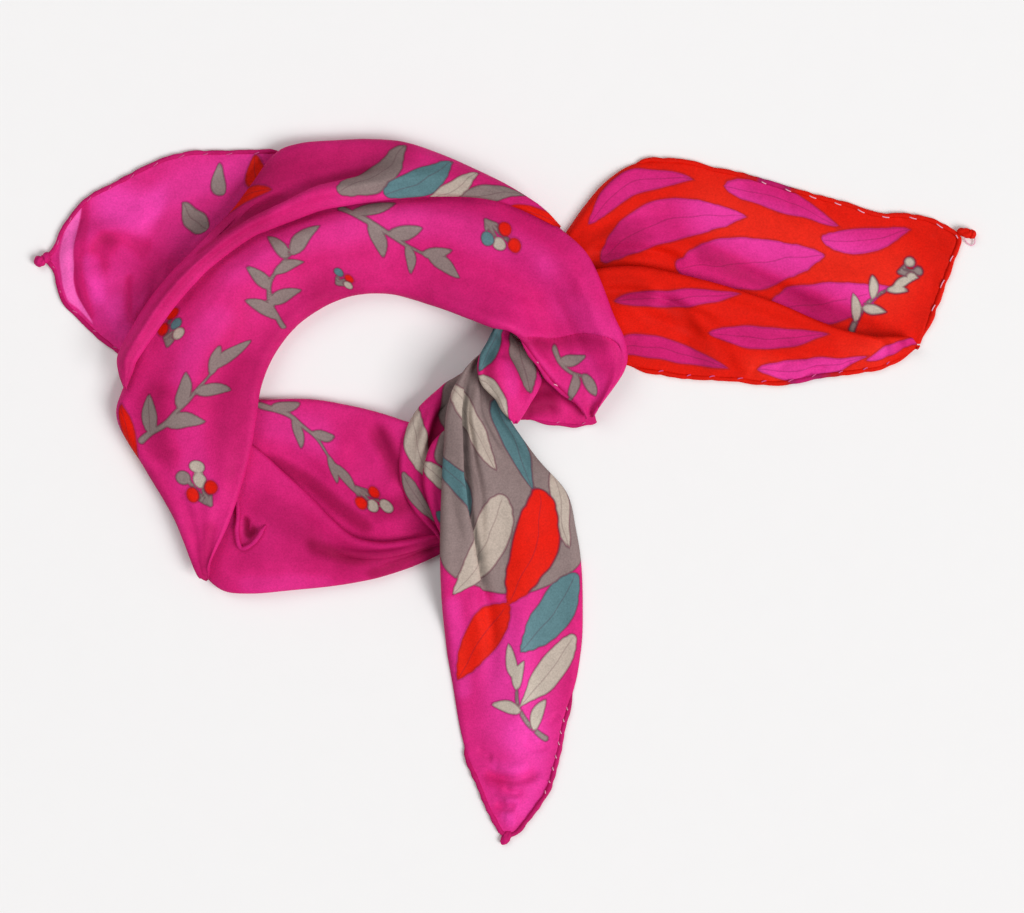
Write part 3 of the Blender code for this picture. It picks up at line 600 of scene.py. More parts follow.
def creaseField(s, t, creases):
    # soft troughs and ridges: a crease that leans has one side higher than the other
    field = np.zeros(s.shape)
    for path, depth, spread, lean in creases:
        crease, closest = np.zeros(s.shape), np.full(s.shape, far)
        for distance, side, q, way in nearLine(s, t, path):
            off = distance / spread
            shape = np.exp(-off * off) + lean * side * off * np.exp(0.5 - 0.5 * off * off)
            crease = np.where(distance < closest, shape * smooth(creaseEnds * q * (1 - q)), crease)
            closest = np.minimum(closest, distance)
        field -= depth * crease
    return field


rippleWaves = ((23, 17, 1), (8, 8, 0.4), (5, 2.4, 0.12))  # length along, length across, strength


def rippleField(s, t, seed):
    return np.array([[sum(strength * noise.noise(Vector((a / along, b / across, seed)))
                          for along, across, strength in rippleWaves)
                      for a, b in zip(sLine, tLine)] for sLine, tLine in zip(s, t)])


lapForm = {
    "ends": 7,  # the higher, the sooner a lap is whole from its ends
    "edge": 0.35,  # how far the lip's very edge turns down
    "trough": 1.9,  # width of the trough beside the lip
    "wall": (1.2, 1.4),  # where the painted shade begins below the lip, and over what width
    "fadeFrom": 1.3,  # where it starts to fade out
    "fade": 2.1,  # over what width
}


def lapField(s, t, laps):
    # a lip on the first side of each line, laid over the cloth on its other side: moves along s, t and up,
    # and painted shade where the cloth goes in below the lip
    move = np.zeros((4, *s.shape))
    wallFrom, wallWidth = lapForm["wall"]
    for path, lip, reach, height, depth, shade in laps:
        x, whole, way = np.full(s.shape, far), np.zeros(s.shape), np.zeros((2, *s.shape))
        for distance, side, q, (wayS, wayT) in nearLine(s, t, path):
            better = distance < np.abs(x)
            x = np.where(better, distance * np.where(side < 0, -1, 1), x)
            whole = np.where(better, smooth(lapForm["ends"] * q * (1 - q)), whole)
            way = np.where(better, np.array([-wayT, wayS])[:, None, None], way)
        off = np.abs(x)
        aside = -np.sign(x) * (lip + np.minimum(off, 1.0)) * smooth((reach - off) / (reach - 1)) * whole
        edge = lapForm["edge"] * np.clip(1 - off, 0, 1) ** 2
        upper = height * smooth((reach * 1.3 - off) / reach) - edge
        rise = np.where(x < 0, upper, -depth * np.exp(-(off / lapForm["trough"]) ** 2)) * whole
        beyond = np.maximum(x - lapForm["fadeFrom"] - lip, 0)
        shadeBelowLip = smooth((x - wallFrom) / wallWidth) * np.exp(-(beyond / lapForm["fade"]) ** 2)
        move += np.array([way[0] * aside, way[1] * aside, rise, -shade * shadeBelowLip * whole])
    return move


def widened(field, pick, reach):
    padded = np.pad(field, reach, mode="edge")
    steps = range(2 * reach + 1)
    return pick([padded[a:a + field.shape[0], b:b + field.shape[1]] for a in steps for b in steps], axis=0)


def laidGrid(piece, tree):
    # the sheet's points, lifted over what is below, and the place of each of their rows among the piece's
    before = piece.get("before", [])
    runOn = len(before)
    table = sectionTable(before + piece["rows"] + piece.get("after", []))
    coarse, lift = liftTable(piece, table, tree, runOn)
    places = evenPlaces(table, cloth["cell"])
    inset = 2 * cloth["hem"] + cloth["gap"] - cloth["intoHem"]
    tops = int(max(row[3] for row in piece["rows"]) / cloth["cell"])
    lines = np.array([sectionPoints(blended(table, p), p - runOn, piece, tops, fineTurns, inset)
                      for p in places])
    grid, u = lines[:, :, :3].copy(), lines[:, :, 3]
    rowAt = np.interp(places, coarse, np.arange(len(coarse)))[:, None] * np.ones_like(u)
    grid[:, :, 2] += softLookup(lift, rowAt, np.clip((u + 1) / 2, 0, 1) * (lift.shape[1] - 1))
    hemEnd = piece.get("hemEnd")
    if hemEnd:
        # one more row, which runs on into the hem
        end, beside = (0, 1) if hemEnd == "first" else (-1, -2)
        out = grid[end] - grid[beside]
        out[:, 2] = 0
        line = (grid[end] + unit(out) * cloth["intoHem"])[None]
        grid = np.concatenate([line, grid] if end == 0 else [grid, line])
        places = np.concatenate([places[:1], places] if end == 0 else [places, places[-1:]])
    return grid, places - runOn


def flatPlaces(grid, start):
    # where each point lies on the flat cloth: s along the middle line, and t across from it
    middle = grid.shape[1] // 2
    steps = np.linalg.norm(np.diff(grid[:, middle, :2], axis=0), axis=1)
    s = (start + runOf(steps))[:, None] * np.ones(grid.shape[:2])
    across = np.cumsum(np.linalg.norm(np.diff(grid, axis=1), axis=2), axis=1)
    t = np.concatenate([np.zeros((len(grid), 1)), across], axis=1)
    return s, t - t[:, middle:middle + 1]


def makeSheet(node, piece, restsOn):
    first, *rest = node.split("_")
    name = first + "".join(word.capitalize() for word in rest)
    tree = solidsTree(laidOrder[:laidOrder.index(node)])
    grid, places = laidGrid(piece, tree)
    s, t = flatPlaces(grid, piece.get("start", 0.0))
    facets = np.cross(np.diff(grid, axis=0)[:, :-1], np.diff(grid, axis=1)[:-1])
    area = np.linalg.norm(facets, axis=2).sum() / 1e6
    flatSize = ((t[:, -1] - t[:, 0]).max() / 1000, (s.max() - s.min()) / 1000)

    normals = gridNormals(grid)
    upward = normals[:, :, 2] > cloth["upward"]
    push = creaseField(s, t, piece.get("creases", ()))
    push += piece.get("ripple", 0.18) * rippleField(s, t, sum(map(ord, name))) * 2
    raised = grid + normals * push[:, :, None]
    grid = np.where(upward[:, :, None], raised, grid + (raised - grid) * cloth["sidePush"])
    lap = lapField(s, t, piece.get("laps", ()))
    for axis in (0, 1):
        grid = grid + unit(np.gradient(grid, axis=axis)) * lap[axis][:, :, None]
    grid[:, :, 2] += lap[2]
    lowest = np.where(upward, cloth["shell"] + cloth["overTable"], cloth["lowest"])
    grid[:, :, 2] = np.maximum(grid[:, :, 2], lowest)
    if tree:
        # no crease cuts into what the cloth lies on
        short = np.zeros(s.shape)
        for i, j in np.argwhere(upward & (push + lap[2] < -cloth["deep"])):
            x, y, z = grid[i, j]
            short[i, j] = topOf(tree, x, y) + cloth["shell"] + cloth["clear"] - z
        grid[:, :, 2] += widened(widened(np.maximum(short, 0), np.max, 1), np.mean, 1)

    points, faces = closedShell(grid, cloth["shell"])
    flat = np.stack([s.ravel(), t.ravel()], axis=1)
    fields = dyeFields(*flat.T, piece.get("print", ()))
    # the tone holds paler and deeper dye, painted highlight and painted shade; the laps add painted shade
    # below their lips
    tone = toneAndShadingField(*flat.T, piece.get("tone", ())) + piece.get("pale", 0.0)
    fields["tone"] = np.maximum(tone + lap[3].ravel(), dyeForm["darkest"])
    obj = meshObject(name, points, faces, silk, {key: np.tile(value, 2) for key, value in fields.items()},
                     np.tile(flat, (2, 1)))
    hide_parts(node)
    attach(obj, "root")
    sheets[name] = {
        "obj": obj, "grid": grid, "s": s, "t": t, "places": places, "tree": tree, "flat": flatSize,
        "area": area, "print": piece.get("print", ()), "restsOn": [restsOn], "hems": ()}
    print(name, "laid,", len(points), "points")


# the pieces, from the lowest up
# a row is x, y, heading, width, crown, peak, left edge and right edge; before and after run on past the solid
# tops and spacing are those of the coarse lifts, start is where s begins, pale is added to the whole tone; a
# tone patch is paler or deeper dye, painted highlight or painted shade

leftCorner = {
    "rows": [
        (-166.5, 85.5, 3, 8, 0, 0, 0, 0),
        (-163, 84.5, -2, 28, 1, 0, 0, 0),
        (-156, 86, -4, 45, 1.6, 0, 0, 0),
        (-145.5, 84.5, -4, 60, 2, 0, 0, 0),
        (-134.5, 84.5, -5, 73, 1.2, 0, 0, 0),
        (-123, 92.5, -10, 67, 0.6, 0, 0, 0),
        (-110, 100, -17, 54, 0.6, 0, 0, 0),
        (-95, 108, -27, 41, 0.4, 0, 0, 0),
    ],
    "before": [(-169.2, 86, 3, 3, 0, 0, 0, 0)],
    "after": [(-84, 111, -22, 34, 0.3, 0, 0, 0)],
    "folds": [  # from row, to row, from u, to u, rise, spread
        (0.6, 4.5, -0.3, -0.45, 1.8, 6),
        (0.8, 4.5, 0.35, 0.1, 1.6, 5),
        (2.5, 4.6, 0.7, 0.45, 1.6, 4),
    ],
    "edges": ("hemmed", "hemmed"), "tops": 6, "spacing": 6, "hemEnd": "first",
    "creases": [  # path in s and t, depth, spread, lean
        ([(14.6, -20.4), (12.4, -11.6), (11.3, -4.6), (12.4, 4.3), (13.5, 11.2), (15.7, 16.9),
          (21.2, 23.9)], 0.5, 1.3, 0.8),
        ([(17.9, -16.2), (16.8, -7.3), (17.9, 1.4), (19, 8.7), (23.4, 17.2)], -0.5, 2, 0),
        ([(22.5, 4), (20.6, -3.7), (24, -9.4), (31.2, -9.8), (38.8, -4.2), (45.4, 5),
          (48.7, 14.6)], 1.1, 2.7, 0.3),
        ([(33.4, 3), (33.4, 10), (34, 15), (35, 22)], 1, 1.1, 0.8),
        ([(28, -20), (44, -17), (60, -12)], -0.4, 5, 0),
        ([(52, -8), (60, -2), (66, 6)], 0.5, 3, 0.3),
    ],
    "tone": [  # path, radius, strength: painted highlight above zero and painted shade below, with paler and deeper dye
        ([(26, -22), (36, -19)], 10, 0.75), ([(44, -22), (72, -17)], 9, 0.3), ([(19, 1), (22, 13)], 4, 0.5),
        ([(29, 16), (31, 24)], 5, 0.3),
        ([(14, -21), (14.5, -10), (13.6, 2), (15.4, 12), (19, 20)], 2.6, -0.35),
        ([(22, 3), (21, -3), (24, -7)], 5, -0.34), ([(24, -9), (31, -9.8), (38, -5)], 4, -0.25),
        ([(33.2, 5), (33.6, 13), (34.6, 21)], 2, -0.3),
        ([(42, 3), (50, 13)], 10, -0.18), ([(28, 4), (31, 10)], 5, 0.12), ([(23, 8), (25, 19)], 6, 0.25),
    ],
    "pale": 0.25,
    "print": [
        ("veil", [(13, -21), (10.3, -11.6), (9, -4.6), (9.6, 4.3), (10.6, 10.2), (12.6, 15.5),
          (20.5, 24)], 2.5, "leaf"),
        ("grey", [(68, 4), (60, -3), (52, -14)], 3.2, "leaf"),
        ("grey", [(70, -8), (66, -14), (63, -24)], 2.6, "leaf"),
        ("red", [(86, -4), (80, -12), (76, -21)], 3.3, "leaf"),
    ],
    "ripple": 0.24,
}
makeSheet("left_corner", leftCorner, "floor")

underFlap = {
    "rows": [
        (6, 31.5, 3, 13, 0.4, 0, 0, 0),
        (12, 33, 4, 16, 1, 0, 0, 0),
        (18, 32.5, 4, 17, 1.4, 0, 0, 0),
        (25, 30, 6, 13, 1, 0, 0, 0),
        (31, 28, 13, 10, 0.4, 0, 0, 0),
    ],
    "before": [(-1, 30, 2, 11, 0.2, 0, 0, 0)],
    "after": [(33.6, 27.4, 14, 7, 0.2, 0, 0, 0)],
    "edges": ("open", "hemmed"), "tops": 4, "spacing": 6,
    "creases": [
        ([(2, 3), (12, 4), (22, 2)], 0.5, 1.8, 0.3), ([(9, 7), (10, 2)], 0.4, 0.9, 0.3),
        ([(19, 7), (17, 2)], 0.4, 0.9, 0.3), ([(4, -4), (12, -3), (22, -5)], 0.5, 1.6, 0.3),
    ],
    "tone": [([(4, -6), (14, -6), (24, -5)], 5, -0.6), ([(2, 2), (12, 2), (18, 1)], 5, -0.65)],
    "print": [("red", [(0, -6), (6, -3)], 2.4, "leaf"), ("grey", [(8, -7), (13, -2)], 1.6, "leaf")],
    "ripple": 0.14,
}
makeSheet("under_flap", underFlap, "floor")

rightTail = {
    "rows": [
        (22.5, 81.5, 11, 22, 0.4, 0, 3, 0),
        (32.5, 88, 9, 36, 1.2, -0.2, 4, 0),
        (43.5, 93, 12, 46, 2, -0.3, 3.6, 0),
        (55, 95, 11, 54, 2.4, -0.4, 2, 0),
        (69, 94.5, 9, 56, 2.2, -0.4, 0.8, 0),
        (83, 91.5, 7, 56, 2, -0.4, 0.2, 0),
        (97, 88, 6, 56, 1.8, -0.3, 0, 0),
        (111, 84.5, 5, 54, 1.6, -0.2, 0, 0),
        (124.5, 81, 2, 53, 1.6, 0, 0, 0),
        (137.5, 78.5, -2, 49, 1.2, 0, 0, 0),
        (148.5, 78, -6, 49, 0.8, 0, 0, 0),
        (155, 77, -13, 47, 0.4, 0, 0, 0),
        (160, 75, -20, 44, 0, 0, 0, 0),
    ],
    "folds": [
        (1, 6, 0.25, 0.15, 3, 7),
        (2.5, 8.5, -0.45, -0.5, 1.2, 9),
        (5, 9.5, 0.3, 0.05, 1.4, 6),
    ],
    "edges": ("hemmed", "open"), "tops": 8, "spacing": 8, "hemEnd": "last",
    "creases": [
        ([(8, -3), (16, -1), (24, 1.5), (34, 5), (46, 9)], 2.2, 2.6, 0.3),
        ([(10, -8), (22, -9), (36, -8), (52, -8)], 0.9, 3, -0.4),
        ([(56, 6), (74, 9), (90, 14), (110, 17), (128, 17)], 1.2, 3.2, 0.3),
        ([(30, -16), (58, -13), (92, -9)], 0.6, 5.5, 0.2),
        ([(78, -2), (100, 2), (120, 5)], -0.5, 5, 0),
        ([(72, -27), (75, -21)], 0.4, 1, 0.3), ([(86, -27), (90, -20)], 0.5, 1.1, -0.3),
        ([(101, -27), (103, -22)], 0.4, 0.9, 0.3), ([(127, -25), (131, -18)], 0.4, 1.2, 0.3),
        ([(136, -19), (141, -14)], 0.5, 1, -0.3), ([(139, -8), (142, 4)], 0.3, 1.6, 0.3),
    ],
    "tone": [
        ([(62, -12), (90, -6), (122, 0)], 17, 0.75), ([(6, -3), (26, 0)], 9, -0.4),
        ([(54, 5), (90, 13), (118, 17)], 6, -0.34), ([(139, -18), (142, -4), (140, 10)], 9, -0.18),
        ([(20, -16), (40, -18)], 8, 0.1),
    ],
    "print": [
        ("red", [(0, 0), (150, 0)], 60, "even"),
        (None, [(12, -13), (30, -21), (54, -23)], 4.8, "leaf"),
        (None, [(14, 2), (40, -6), (72, -13)], 8, "leaf"),
        (None, [(42, 13), (70, 5), (100, -6)], 9.4, "leaf"),
        (None, [(64, -23), (86, -23), (106, -18)], 5.2, "leaf"),
        (None, [(76, 21), (98, 13), (124, 2)], 7.6, "leaf"),
        (None, [(100, -11), (114, -14), (130, -20)], 4.6, "leaf"),
        *sprig(110, 20, -48, 24, -3, 10, 4, ("silver",)),
        *berries(128, -4, -20, 1.7, ("silver", "grey", "silver")),
    ],
}
makeSheet("right_tail", rightTail, "floor")

rightFront = {
    "rows": [
        (31.5, 65.5, 14, 31, 1.5, -0.2, 2.2, 2.5),
        (40.5, 64.5, 12, 36, 2.5, -0.2, 2.4, 2.5),
        (52.5, 63.5, 8, 39, 3, -0.3, 2.5, 1.5),
        (65.5, 61, 8, 39, 3, -0.3, 2.5, 0.6),
        (78.5, 59, 9, 37, 2.6, -0.3, 2.4, 0),
        (90.5, 56.5, 6, 34, 2.4, -0.2, 2.2, 0),
        (102.5, 54, 3, 30, 2, -0.2, 2, 0),
        (115, 52.5, 3, 22, 1.6, 0, 2, 0),
        (127.5, 51, 3, 16, 1, 0, 1.8, 0),
        (138.5, 51, 3, 12, 0.6, 0, 1.7, 0),
        (148.5, 53, -6, 8, 0.2, 0, 1.7, 0),
    ],
    "after": [(151.4, 52.7, -12, 3.4, 0, 0, 1, 0), (152.7, 52.4, -13, 1.3, 0, 0, 0.6, 0)],
    "folds": [(1.5, 4.5, -0.2, 0.35, -1.8, 4), (4.2, 6, 0.6, 0.95, 1.2, 3)],
    "edges": ("folded", "hemmed"), "tops": 6, "spacing": 8,
    "creases": [
        ([(1, -5), (8.8, -7.1), (20.1, -8.3), (34, -6), (50, -1)], 1.9, 2.6, 0.4),
        ([(7.7, -14), (26.7, -15.5), (43.2, -11.6), (71.1, -6.8), (95.6, -3)], -0.5, 2.4, 0),
        ([(25, -11), (31.1, -7.5), (37.7, 2.4), (40.5, 13)], 1.2, 3.6, 0.4),
        ([(10, 4), (24, 6), (40, 10)], 0.5, 3.5, 0.2),
        ([(69, 13), (74.5, 8), (82, 6)], 0.8, 1.3, 0.5), ([(79, 14), (83.4, 10.1), (90, 8)], 0.7, 1.2, 0.5),
        ([(58, 18), (62, 12)], 0.5, 1.1, 0.3), ([(94, 10), (98, 4)], 0.5, 1.2, 0.3),
        ([(106, -8), (111, -2), (112, 5)], 0.7, 1.5, 0.5), ([(115, -4), (119, 2)], 0.5, 1, 0.4),
    ],
    "tone": [
        ([(62, 14), (86, 10), (108, 3)], 7, 0.6), ([(33, -3), (38, 4), (42, 14)], 6, -0.35),
        ([(0, -6), (10, -7), (19, -8)], 7, -0.4), ([(60, 0), (74, 2)], 6, -0.2),
        ([(96, -2), (112, -2)], 4, 0.3),
    ],
    "print": [
        ("red", [(0, 0), (130, 0)], 60, "even"),
        (None, [(2, 16), (24, 13), (50, 17)], 4.4, "leaf"),
        (None, [(10, -3), (34, -8), (58, -14)], 3.6, "leaf"),
        (None, [(44, 4), (66, 1), (90, -5)], 4.2, "leaf"),
        (None, [(62, 14), (82, 10), (104, 2)], 3.8, "leaf"),
        (None, [(104, 4), (114, 0), (126, -4)], 2.4, "leaf"),
    ],
}
makeSheet("right_front", rightFront, "rightTail")

lowerBand = {
    "rows": [
        (-93.5, 20, -8, 28, 1.2, 0, 1.8, 0),
        (-85.5, 19, -4, 30, 2, 0, 2, 0),
        (-72.5, 14.5, -3, 39, 2.6, 0, 2.2, 0),
        (-60.5, 8, -4, 48, 3, 0, 2.2, 0),
        (-50, 3.5, -5, 52, 3.2, 0, 2.2, 0),
        (-40.5, 0.5, -5, 52, 3.4, 0, 2.4, 0),
        (-33, 1, -1, 46, 2.6, 0, 2.4, 0),
    ],
    "after": [(-26, -1.5, 3, 36, 2, 0, 2, 0), (-19.5, -4, 6, 22, 1.4, 0, 1.8, 0)],
    "edges": ("folded", "open"), "tops": 5, "spacing": 8,
    "creases": [
        ([(36, -8), (46, -5), (56, -2)], 1.2, 4.5, 0.3),
        ([(30, 6), (44, 9), (58, 8)], 0.8, 3.5, 0.4),
        ([(46, -22), (50, -14), (58, -4), (62, 4)], 1.3, 2.8, 0.4),
        ([(8, 2), (22, 6), (36, 12)], 0.7, 4, 0.3),
        ([(56, -10), (64, -3), (72, 2)], 0.9, 1.8, 0.3),
    ],
    "tone": [
        ([(8, -6), (26, -6)], 9, 0.3), ([(50, -15), (58, -5)], 5.5, -0.6), ([(50, 12), (62, 7)], 5, -0.4),
        ([(8, 10), (28, 14), (46, 19)], 4, -0.5),
    ],
    "print": [
        *sprig(2, -11, 22, 34, -3, 11, 4, ("grey",)),
        *berries(42, 6, 30, 2.4, ("red", "silver", "red", "silver")),
        ("silver", [(62, -12), (67, -4), (70, 4)], 3.8, "leaf"),
    ],
}
makeSheet("lower_band", lowerBand, "floor")

lowerFold = {
    "rows": [
        (-102, -7.5, -13, 54, 0.4, 0, 1.7, 1.8),
        (-95.5, -11.5, -14, 53, 1.6, 0.2, 1.8, 2.6),
        (-86.5, -15.5, -14, 46, 3.5, 0.2, 2, 3.2),
        (-75.5, -19, -11, 36, 4.5, 0, 2.2, 3.4),
        (-65, -22.5, -4, 26, 4.5, 0, 2.2, 3.2),
        (-55, -25, 6, 17.5, 3.5, 0, 2.2, 3),
        (-45.5, -25, 11, 13, 3, 0, 2, 2.6),
        (-35.5, -23, 15, 10.5, 2, 0, 1.8, 2.2),
        (-26, -20, 19, 8, 1, 0, 1.7, 1.8),
    ],
    "before": [(-106.5, -5.2, -12.5, 48.5, 0.2, 0, 1.2, 1.4)],
    "after": [(-18, -17.2, 19, 5, 0.4, 0, 1.2, 1.2)],
    "edges": ("folded", "folded"), "tops": 6, "spacing": 7,
    "creases": [
        ([(6, 13), (14, 11.2), (22, 8.2), (35.1, 2.4), (47.2, -0.6), (62, -0.4)], 0.9, 6, 0.3),
        ([(44, -0.6), (58.1, -0.4), (66.9, -0.3), (77.9, -0.1), (90, -0.3)], 1.4, 1.6, 0.4),
        ([(1, -16), (4, -6), (6, 4), (8, 12)], -0.4, 3.6, 0),
        ([(12, -2), (14.6, 3.4), (16.4, 1)], 0.8, 1.5, 0),
        ([(62, 4.2), (74, 3.2), (88, 1.8)], 0.8, 1.1, 0.4),
        ([(14, -16), (30, -10), (46, -6)], -0.5, 3.2, 0),
        ([(28, 18), (44, 12), (60, 8)], 0.5, 3.5, 0.2),
    ],
    "tone": [
        ([(16, 11), (26, 7), (38, 2), (52, 0)], 9, -0.22),
        ([(13, -1), (14.6, 3.6), (16.6, 1)], 1.8, -0.8), ([(40, 0), (66, 0), (88, 0)], 4, -0.4),
        ([(20, 21), (44, 14)], 5, 0.2), ([(62, 7), (82, 4)], 4, -0.45),
        ([(18, -8), (36, -6)], 7, -0.18),
    ],
}
makeSheet("lower_fold", lowerFold, "lowerBand")

knotWrap = {
    "rows": [
        (-13.5, 41.5, 50, 6.5, 1, 0, 1.7, 1.7),
        (-18.5, 35, 56, 12, 1.5, -0.2, 2, 1.7),
        (-23.5, 28, 62, 16.5, 2, -0.3, 2.4, 1.7),
        (-26.5, 22, 70, 18.5, 2, -0.4, 2.4, 1.7),
        (-29, 14, 73, 19, 2, -0.4, 2.2, 1.7),
        (-29.5, 6.5, 77, 19, 1.6, -0.4, 2, 1.7),
        (-29, -1.5, 80, 17, 1.4, -0.3, 1.8, 1.7),
        (-26.5, -9.5, 81, 12, 1, 0, 1.7, 1.7),
        (-23, -15.5, 77, 7, 0.5, 0, 1.7, 1.7),
    ],
    "before": [(-9.5, 45.5, 45, 4, 0.4, 0, 1.2, 1.2)],
    "after": [(-20.5, -21, 70, 3.5, 0.2, 0, 1.2, 1.2)],
    "edges": ("folded", "folded"), "tops": 4, "spacing": 6,
    "creases": [
        ([(5, -5.5), (14.2, -3.6), (21.9, -1.4), (31.7, 0.2), (40, 1.5)], 2.1, 2.2, 0.5),
        ([(12, 4), (24, 5), (38, 6)], 0.7, 1.5, 0.3),
        ([(40, -6), (54, -3.5), (68, 0), (80, 0.5)], 0.9, 1.5, 0.3),
        ([(50, 3.5), (60, 3), (74, 1.5)], 0.7, 1.2, 0.3),
        ([(24, -7), (34, -6), (46, -4)], 0.5, 1.8, 0.2),
    ],
    "tone": [([(5, -3), (20, -1), (34, 2)], 3.6, -0.85), ([(50, 2), (74, 1)], 4, -0.4)],
    "print": [
        ("grey", [(2, -8), (14, -1), (28, 6)], 4.6, "leaf"),
        ("silver", [(24, -12), (35, -5), (48, 4)], 4.8, "leaf"),
        ("grey", [(46, -9), (55, -4), (64, 2)], 3.2, "leaf"),
        ("teal", [(50, 3), (58, 6)], 2.2, "leaf"),
    ],
}
makeSheet("knot_wrap", knotWrap, "lowerBand")

knotSide = {
    "rows": [
        (-19, 21.5, 77, 6.5, 0.5, 0, 1.7, 1.7),
        (-21, 17, 80, 11, 0.6, -0.3, 1.7, 1.7),
        (-22.5, 11, 85, 13, 0.8, -0.4, 1.7, 1.7),
        (-23, 3.5, 84, 14, 0.8, -0.4, 1.8, 1.7),
        (-22, -4.5, 83, 12.5, 0.8, -0.4, 1.7, 1.7),
        (-21, -12, 81, 9, 0.6, -0.3, 1.7, 1.7),
        (-19.5, -17.5, 83, 6.5, 0.5, 0, 1.7, 1.7),
    ],
    "edges": ("folded", "folded"), "tops": 3, "spacing": 6,
    "creases": [
        ([(4, 1), (18, 2), (32, 1)], 0.9, 1.5, 0.4), ([(8, -4), (22, -3.4), (36, -1.5)], 0.7, 1.2, 0.3),
    ],
    "tone": [([(4, 2), (20, 3), (36, 1)], 3, -0.5)],
    "print": [
        ("grey", [(-2, 0), (8, 1)], 5, "even"), ("silver", [(12, -8), (18, 0), (24, 7)], 3.4, "leaf"),
        ("teal", [(30, -4), (36, 2)], 2.4, "leaf"),
    ],
}
makeSheet("knot_side", knotSide, "knotWrap")

hangingTail = {
    "rows": [
        (-8.5, 47, 84, 7.5, 0.5, 0, 1.8, 1.8),
        (-9.5, 42, 85, 13, 1, 0, 2, 2.2),
        (-10, 35, 87, 19, 1.5, 0.2, 2, 2.6),
        (-10, 27.5, 90, 23, 2, 0.3, 2, 3),
        (-7.5, 19, 90, 29, 2.5, 0.3, 2.2, 3.4),
        (-4.5, 10, 91, 36, 3.5, 0.3, 2.4, 3.8),
        (0, -1, 91, 46, 4.5, 0.3, 2.6, 4.2),
        (1.5, -14.5, 90, 50, 4.5, 0.2, 3, 4.4),
        (2.5, -28.5, 91, 52, 4, 0.2, 3.4, 4.4),
        (3, -43.5, 90, 52, 3.6, 0.1, 3.2, 4),
        (3.5, -58, 91, 50, 3.2, 0.1, 3, 3),
        (3.5, -73, 90, 45, 2.8, 0, 2.6, 1.4),
        (3, -87.5, 91, 39, 2.4, 0, 1.6, 0.6),
        (3, -99.5, 90, 34.5, 1.8, 0, 0.6, 0.2),
        (3.5, -109.5, 88, 27.5, 1.4, 0, 0.2, 0),
        (3, -117, 92, 20, 1, 0, 0, 0),
        (2, -125.5, 92, 9, 0.2, 0, 0, 0),
    ],
    "before": [(-5, 51, 66, 5, 0.3, 0, 1.4, 1.4)],
    "folds": [
        (0.6, 8.8, -0.3, -0.5, -2.6, 2.2),
        (2, 9.5, -0.7, -0.75, 1.2, 3),
        (8.5, 12.5, 0.2, 0.1, 1.2, 4),
        (12.5, 15.8, 0.2, -0.2, 0.7, 4),
    ],
    "edges": ("hemmed", "hemmed"), "tops": 8, "spacing": 7, "hemEnd": "last",
    "laps": [  # path, lip, reach, height, depth, painted shade below the lip
        ([(7, -5.4), (13.3, -5.8), (19, -6.8), (26.7, -8.7), (34.3, -11.2), (41.9, -13.8),
          (49.5, -16.6), (57.1, -18.4),
          (62.8, -18), (69.5, -16.1), (78, -13.9), (88, -11.6), (98, -9.8)], 0.6, 4.4, 2.4, 1.2, 1.7),
    ],
    "creases": [
        ([(90, -11.4), (100, -9.6), (112, -8.6)], 0.8, 2.4, 0.2),
        ([(14, -2), (30, -6.5), (48, -11), (62, -13)], -0.6, 2, 0),
        ([(84, -10.5), (105.4, -9.2), (130, -10.9)], 1.1, 3, 0.3),
        ([(8, 2), (24, 5), (42, 9)], 1, 2, 0.3), ([(12, 6), (28, 10), (44, 15)], 0.6, 1.6, 0.3),
        ([(14, -1), (30, 1), (50, 3)], 0.6, 1.8, 0.3),
        ([(36, 14), (56, 18), (76, 20)], -0.6, 4, 0),
        ([(96, 8), (116, 6), (138, 8)], 0.6, 4, 0.3),
        ([(158, -12), (161, -7), (162, 0), (160, 7), (157, 11)], 1.5, 1.6, 0.5),
        ([(164, -5), (166.5, -1), (166, 4)], 1.2, 1.2, 0.5),
        ([(170, -8), (172, -3), (171, 2)], 1.2, 1.2, 0.5),
        ([(146, 3), (150, 8), (149, 14)], 0.9, 1.4, 0.4), ([(150, -14), (154, -8)], 0.8, 1.3, 0.4),
        ([(155.5, -7), (157, -1), (155, 6)], -0.9, 1.7, 0), ([(168.6, -4), (169.2, 3)], -0.6, 1.2, 0),
        ([(175, -3), (176, 2)], -0.6, 1.2, 0), ([(137, 17), (141, 12)], 0.6, 1, 0.3),
    ],
    "tone": [
        ([(146, 4), (156, 6), (170, 3)], 9, 0.5), ([(112, -4), (140, 2)], 13, 0.35),
        ([(96, -22), (128, -20)], 4, 0.4),
        ([(161, -9), (162.4, -1), (160, 6)], 3.6, -0.3), ([(156.6, -6), (157, 3)], 3.4, 0.3),
        ([(165.5, -4), (166.4, 3)], 3, -0.16), ([(174.5, -2), (177, 0)], 2.6, 0.35),
        ([(9, -3.2), (19, -4.6), (34, -8.8), (50, -14.2), (57, -16), (65, -15.4), (78, -11.6)], 2.8, -0.55),
        ([(10, 6), (28, 12), (42, 18)], 5, -0.3), ([(172, -6), (171.6, -1)], 3, -0.25),
        ([(104, -4), (134, 0), (176, 0)], 26, 0.32),
    ],
    "print": [
        ("grey", [(-4, 0), (52, 0)], 40, "even"),
        ("silver", [(14, -11), (28, -3), (46, 1)], 5.2, "leaf"),
        ("teal", [(18, 9), (34, 13), (54, 12)], 4.4, "leaf"),
        ("teal", [(38, -26), (50, -19), (66, -17)], 4.2, "leaf"),
        ("silver", [(46, 24), (60, 21), (76, 22)], 3.8, "leaf"),
        ("red", [(54, 14), (74, 10), (96, -2)], 8.6, "leaf"),
        ("silver", [(56, 0), (72, -8), (92, -22)], 7.4, "leaf"),
        ("teal", [(86, 24), (100, 15), (114, 2)], 7, "leaf"),
        ("red", [(96, -2), (108, -12), (124, -22)], 6.4, "leaf"),
        ("silver", [(108, 23), (120, 14), (134, 2)], 5, "leaf"),
        *sprig(146, 12, 208, 26, 4, 12, 3, ("silver",)),
    ],
}
makeSheet("hanging_tail", hangingTail, "knotSide")

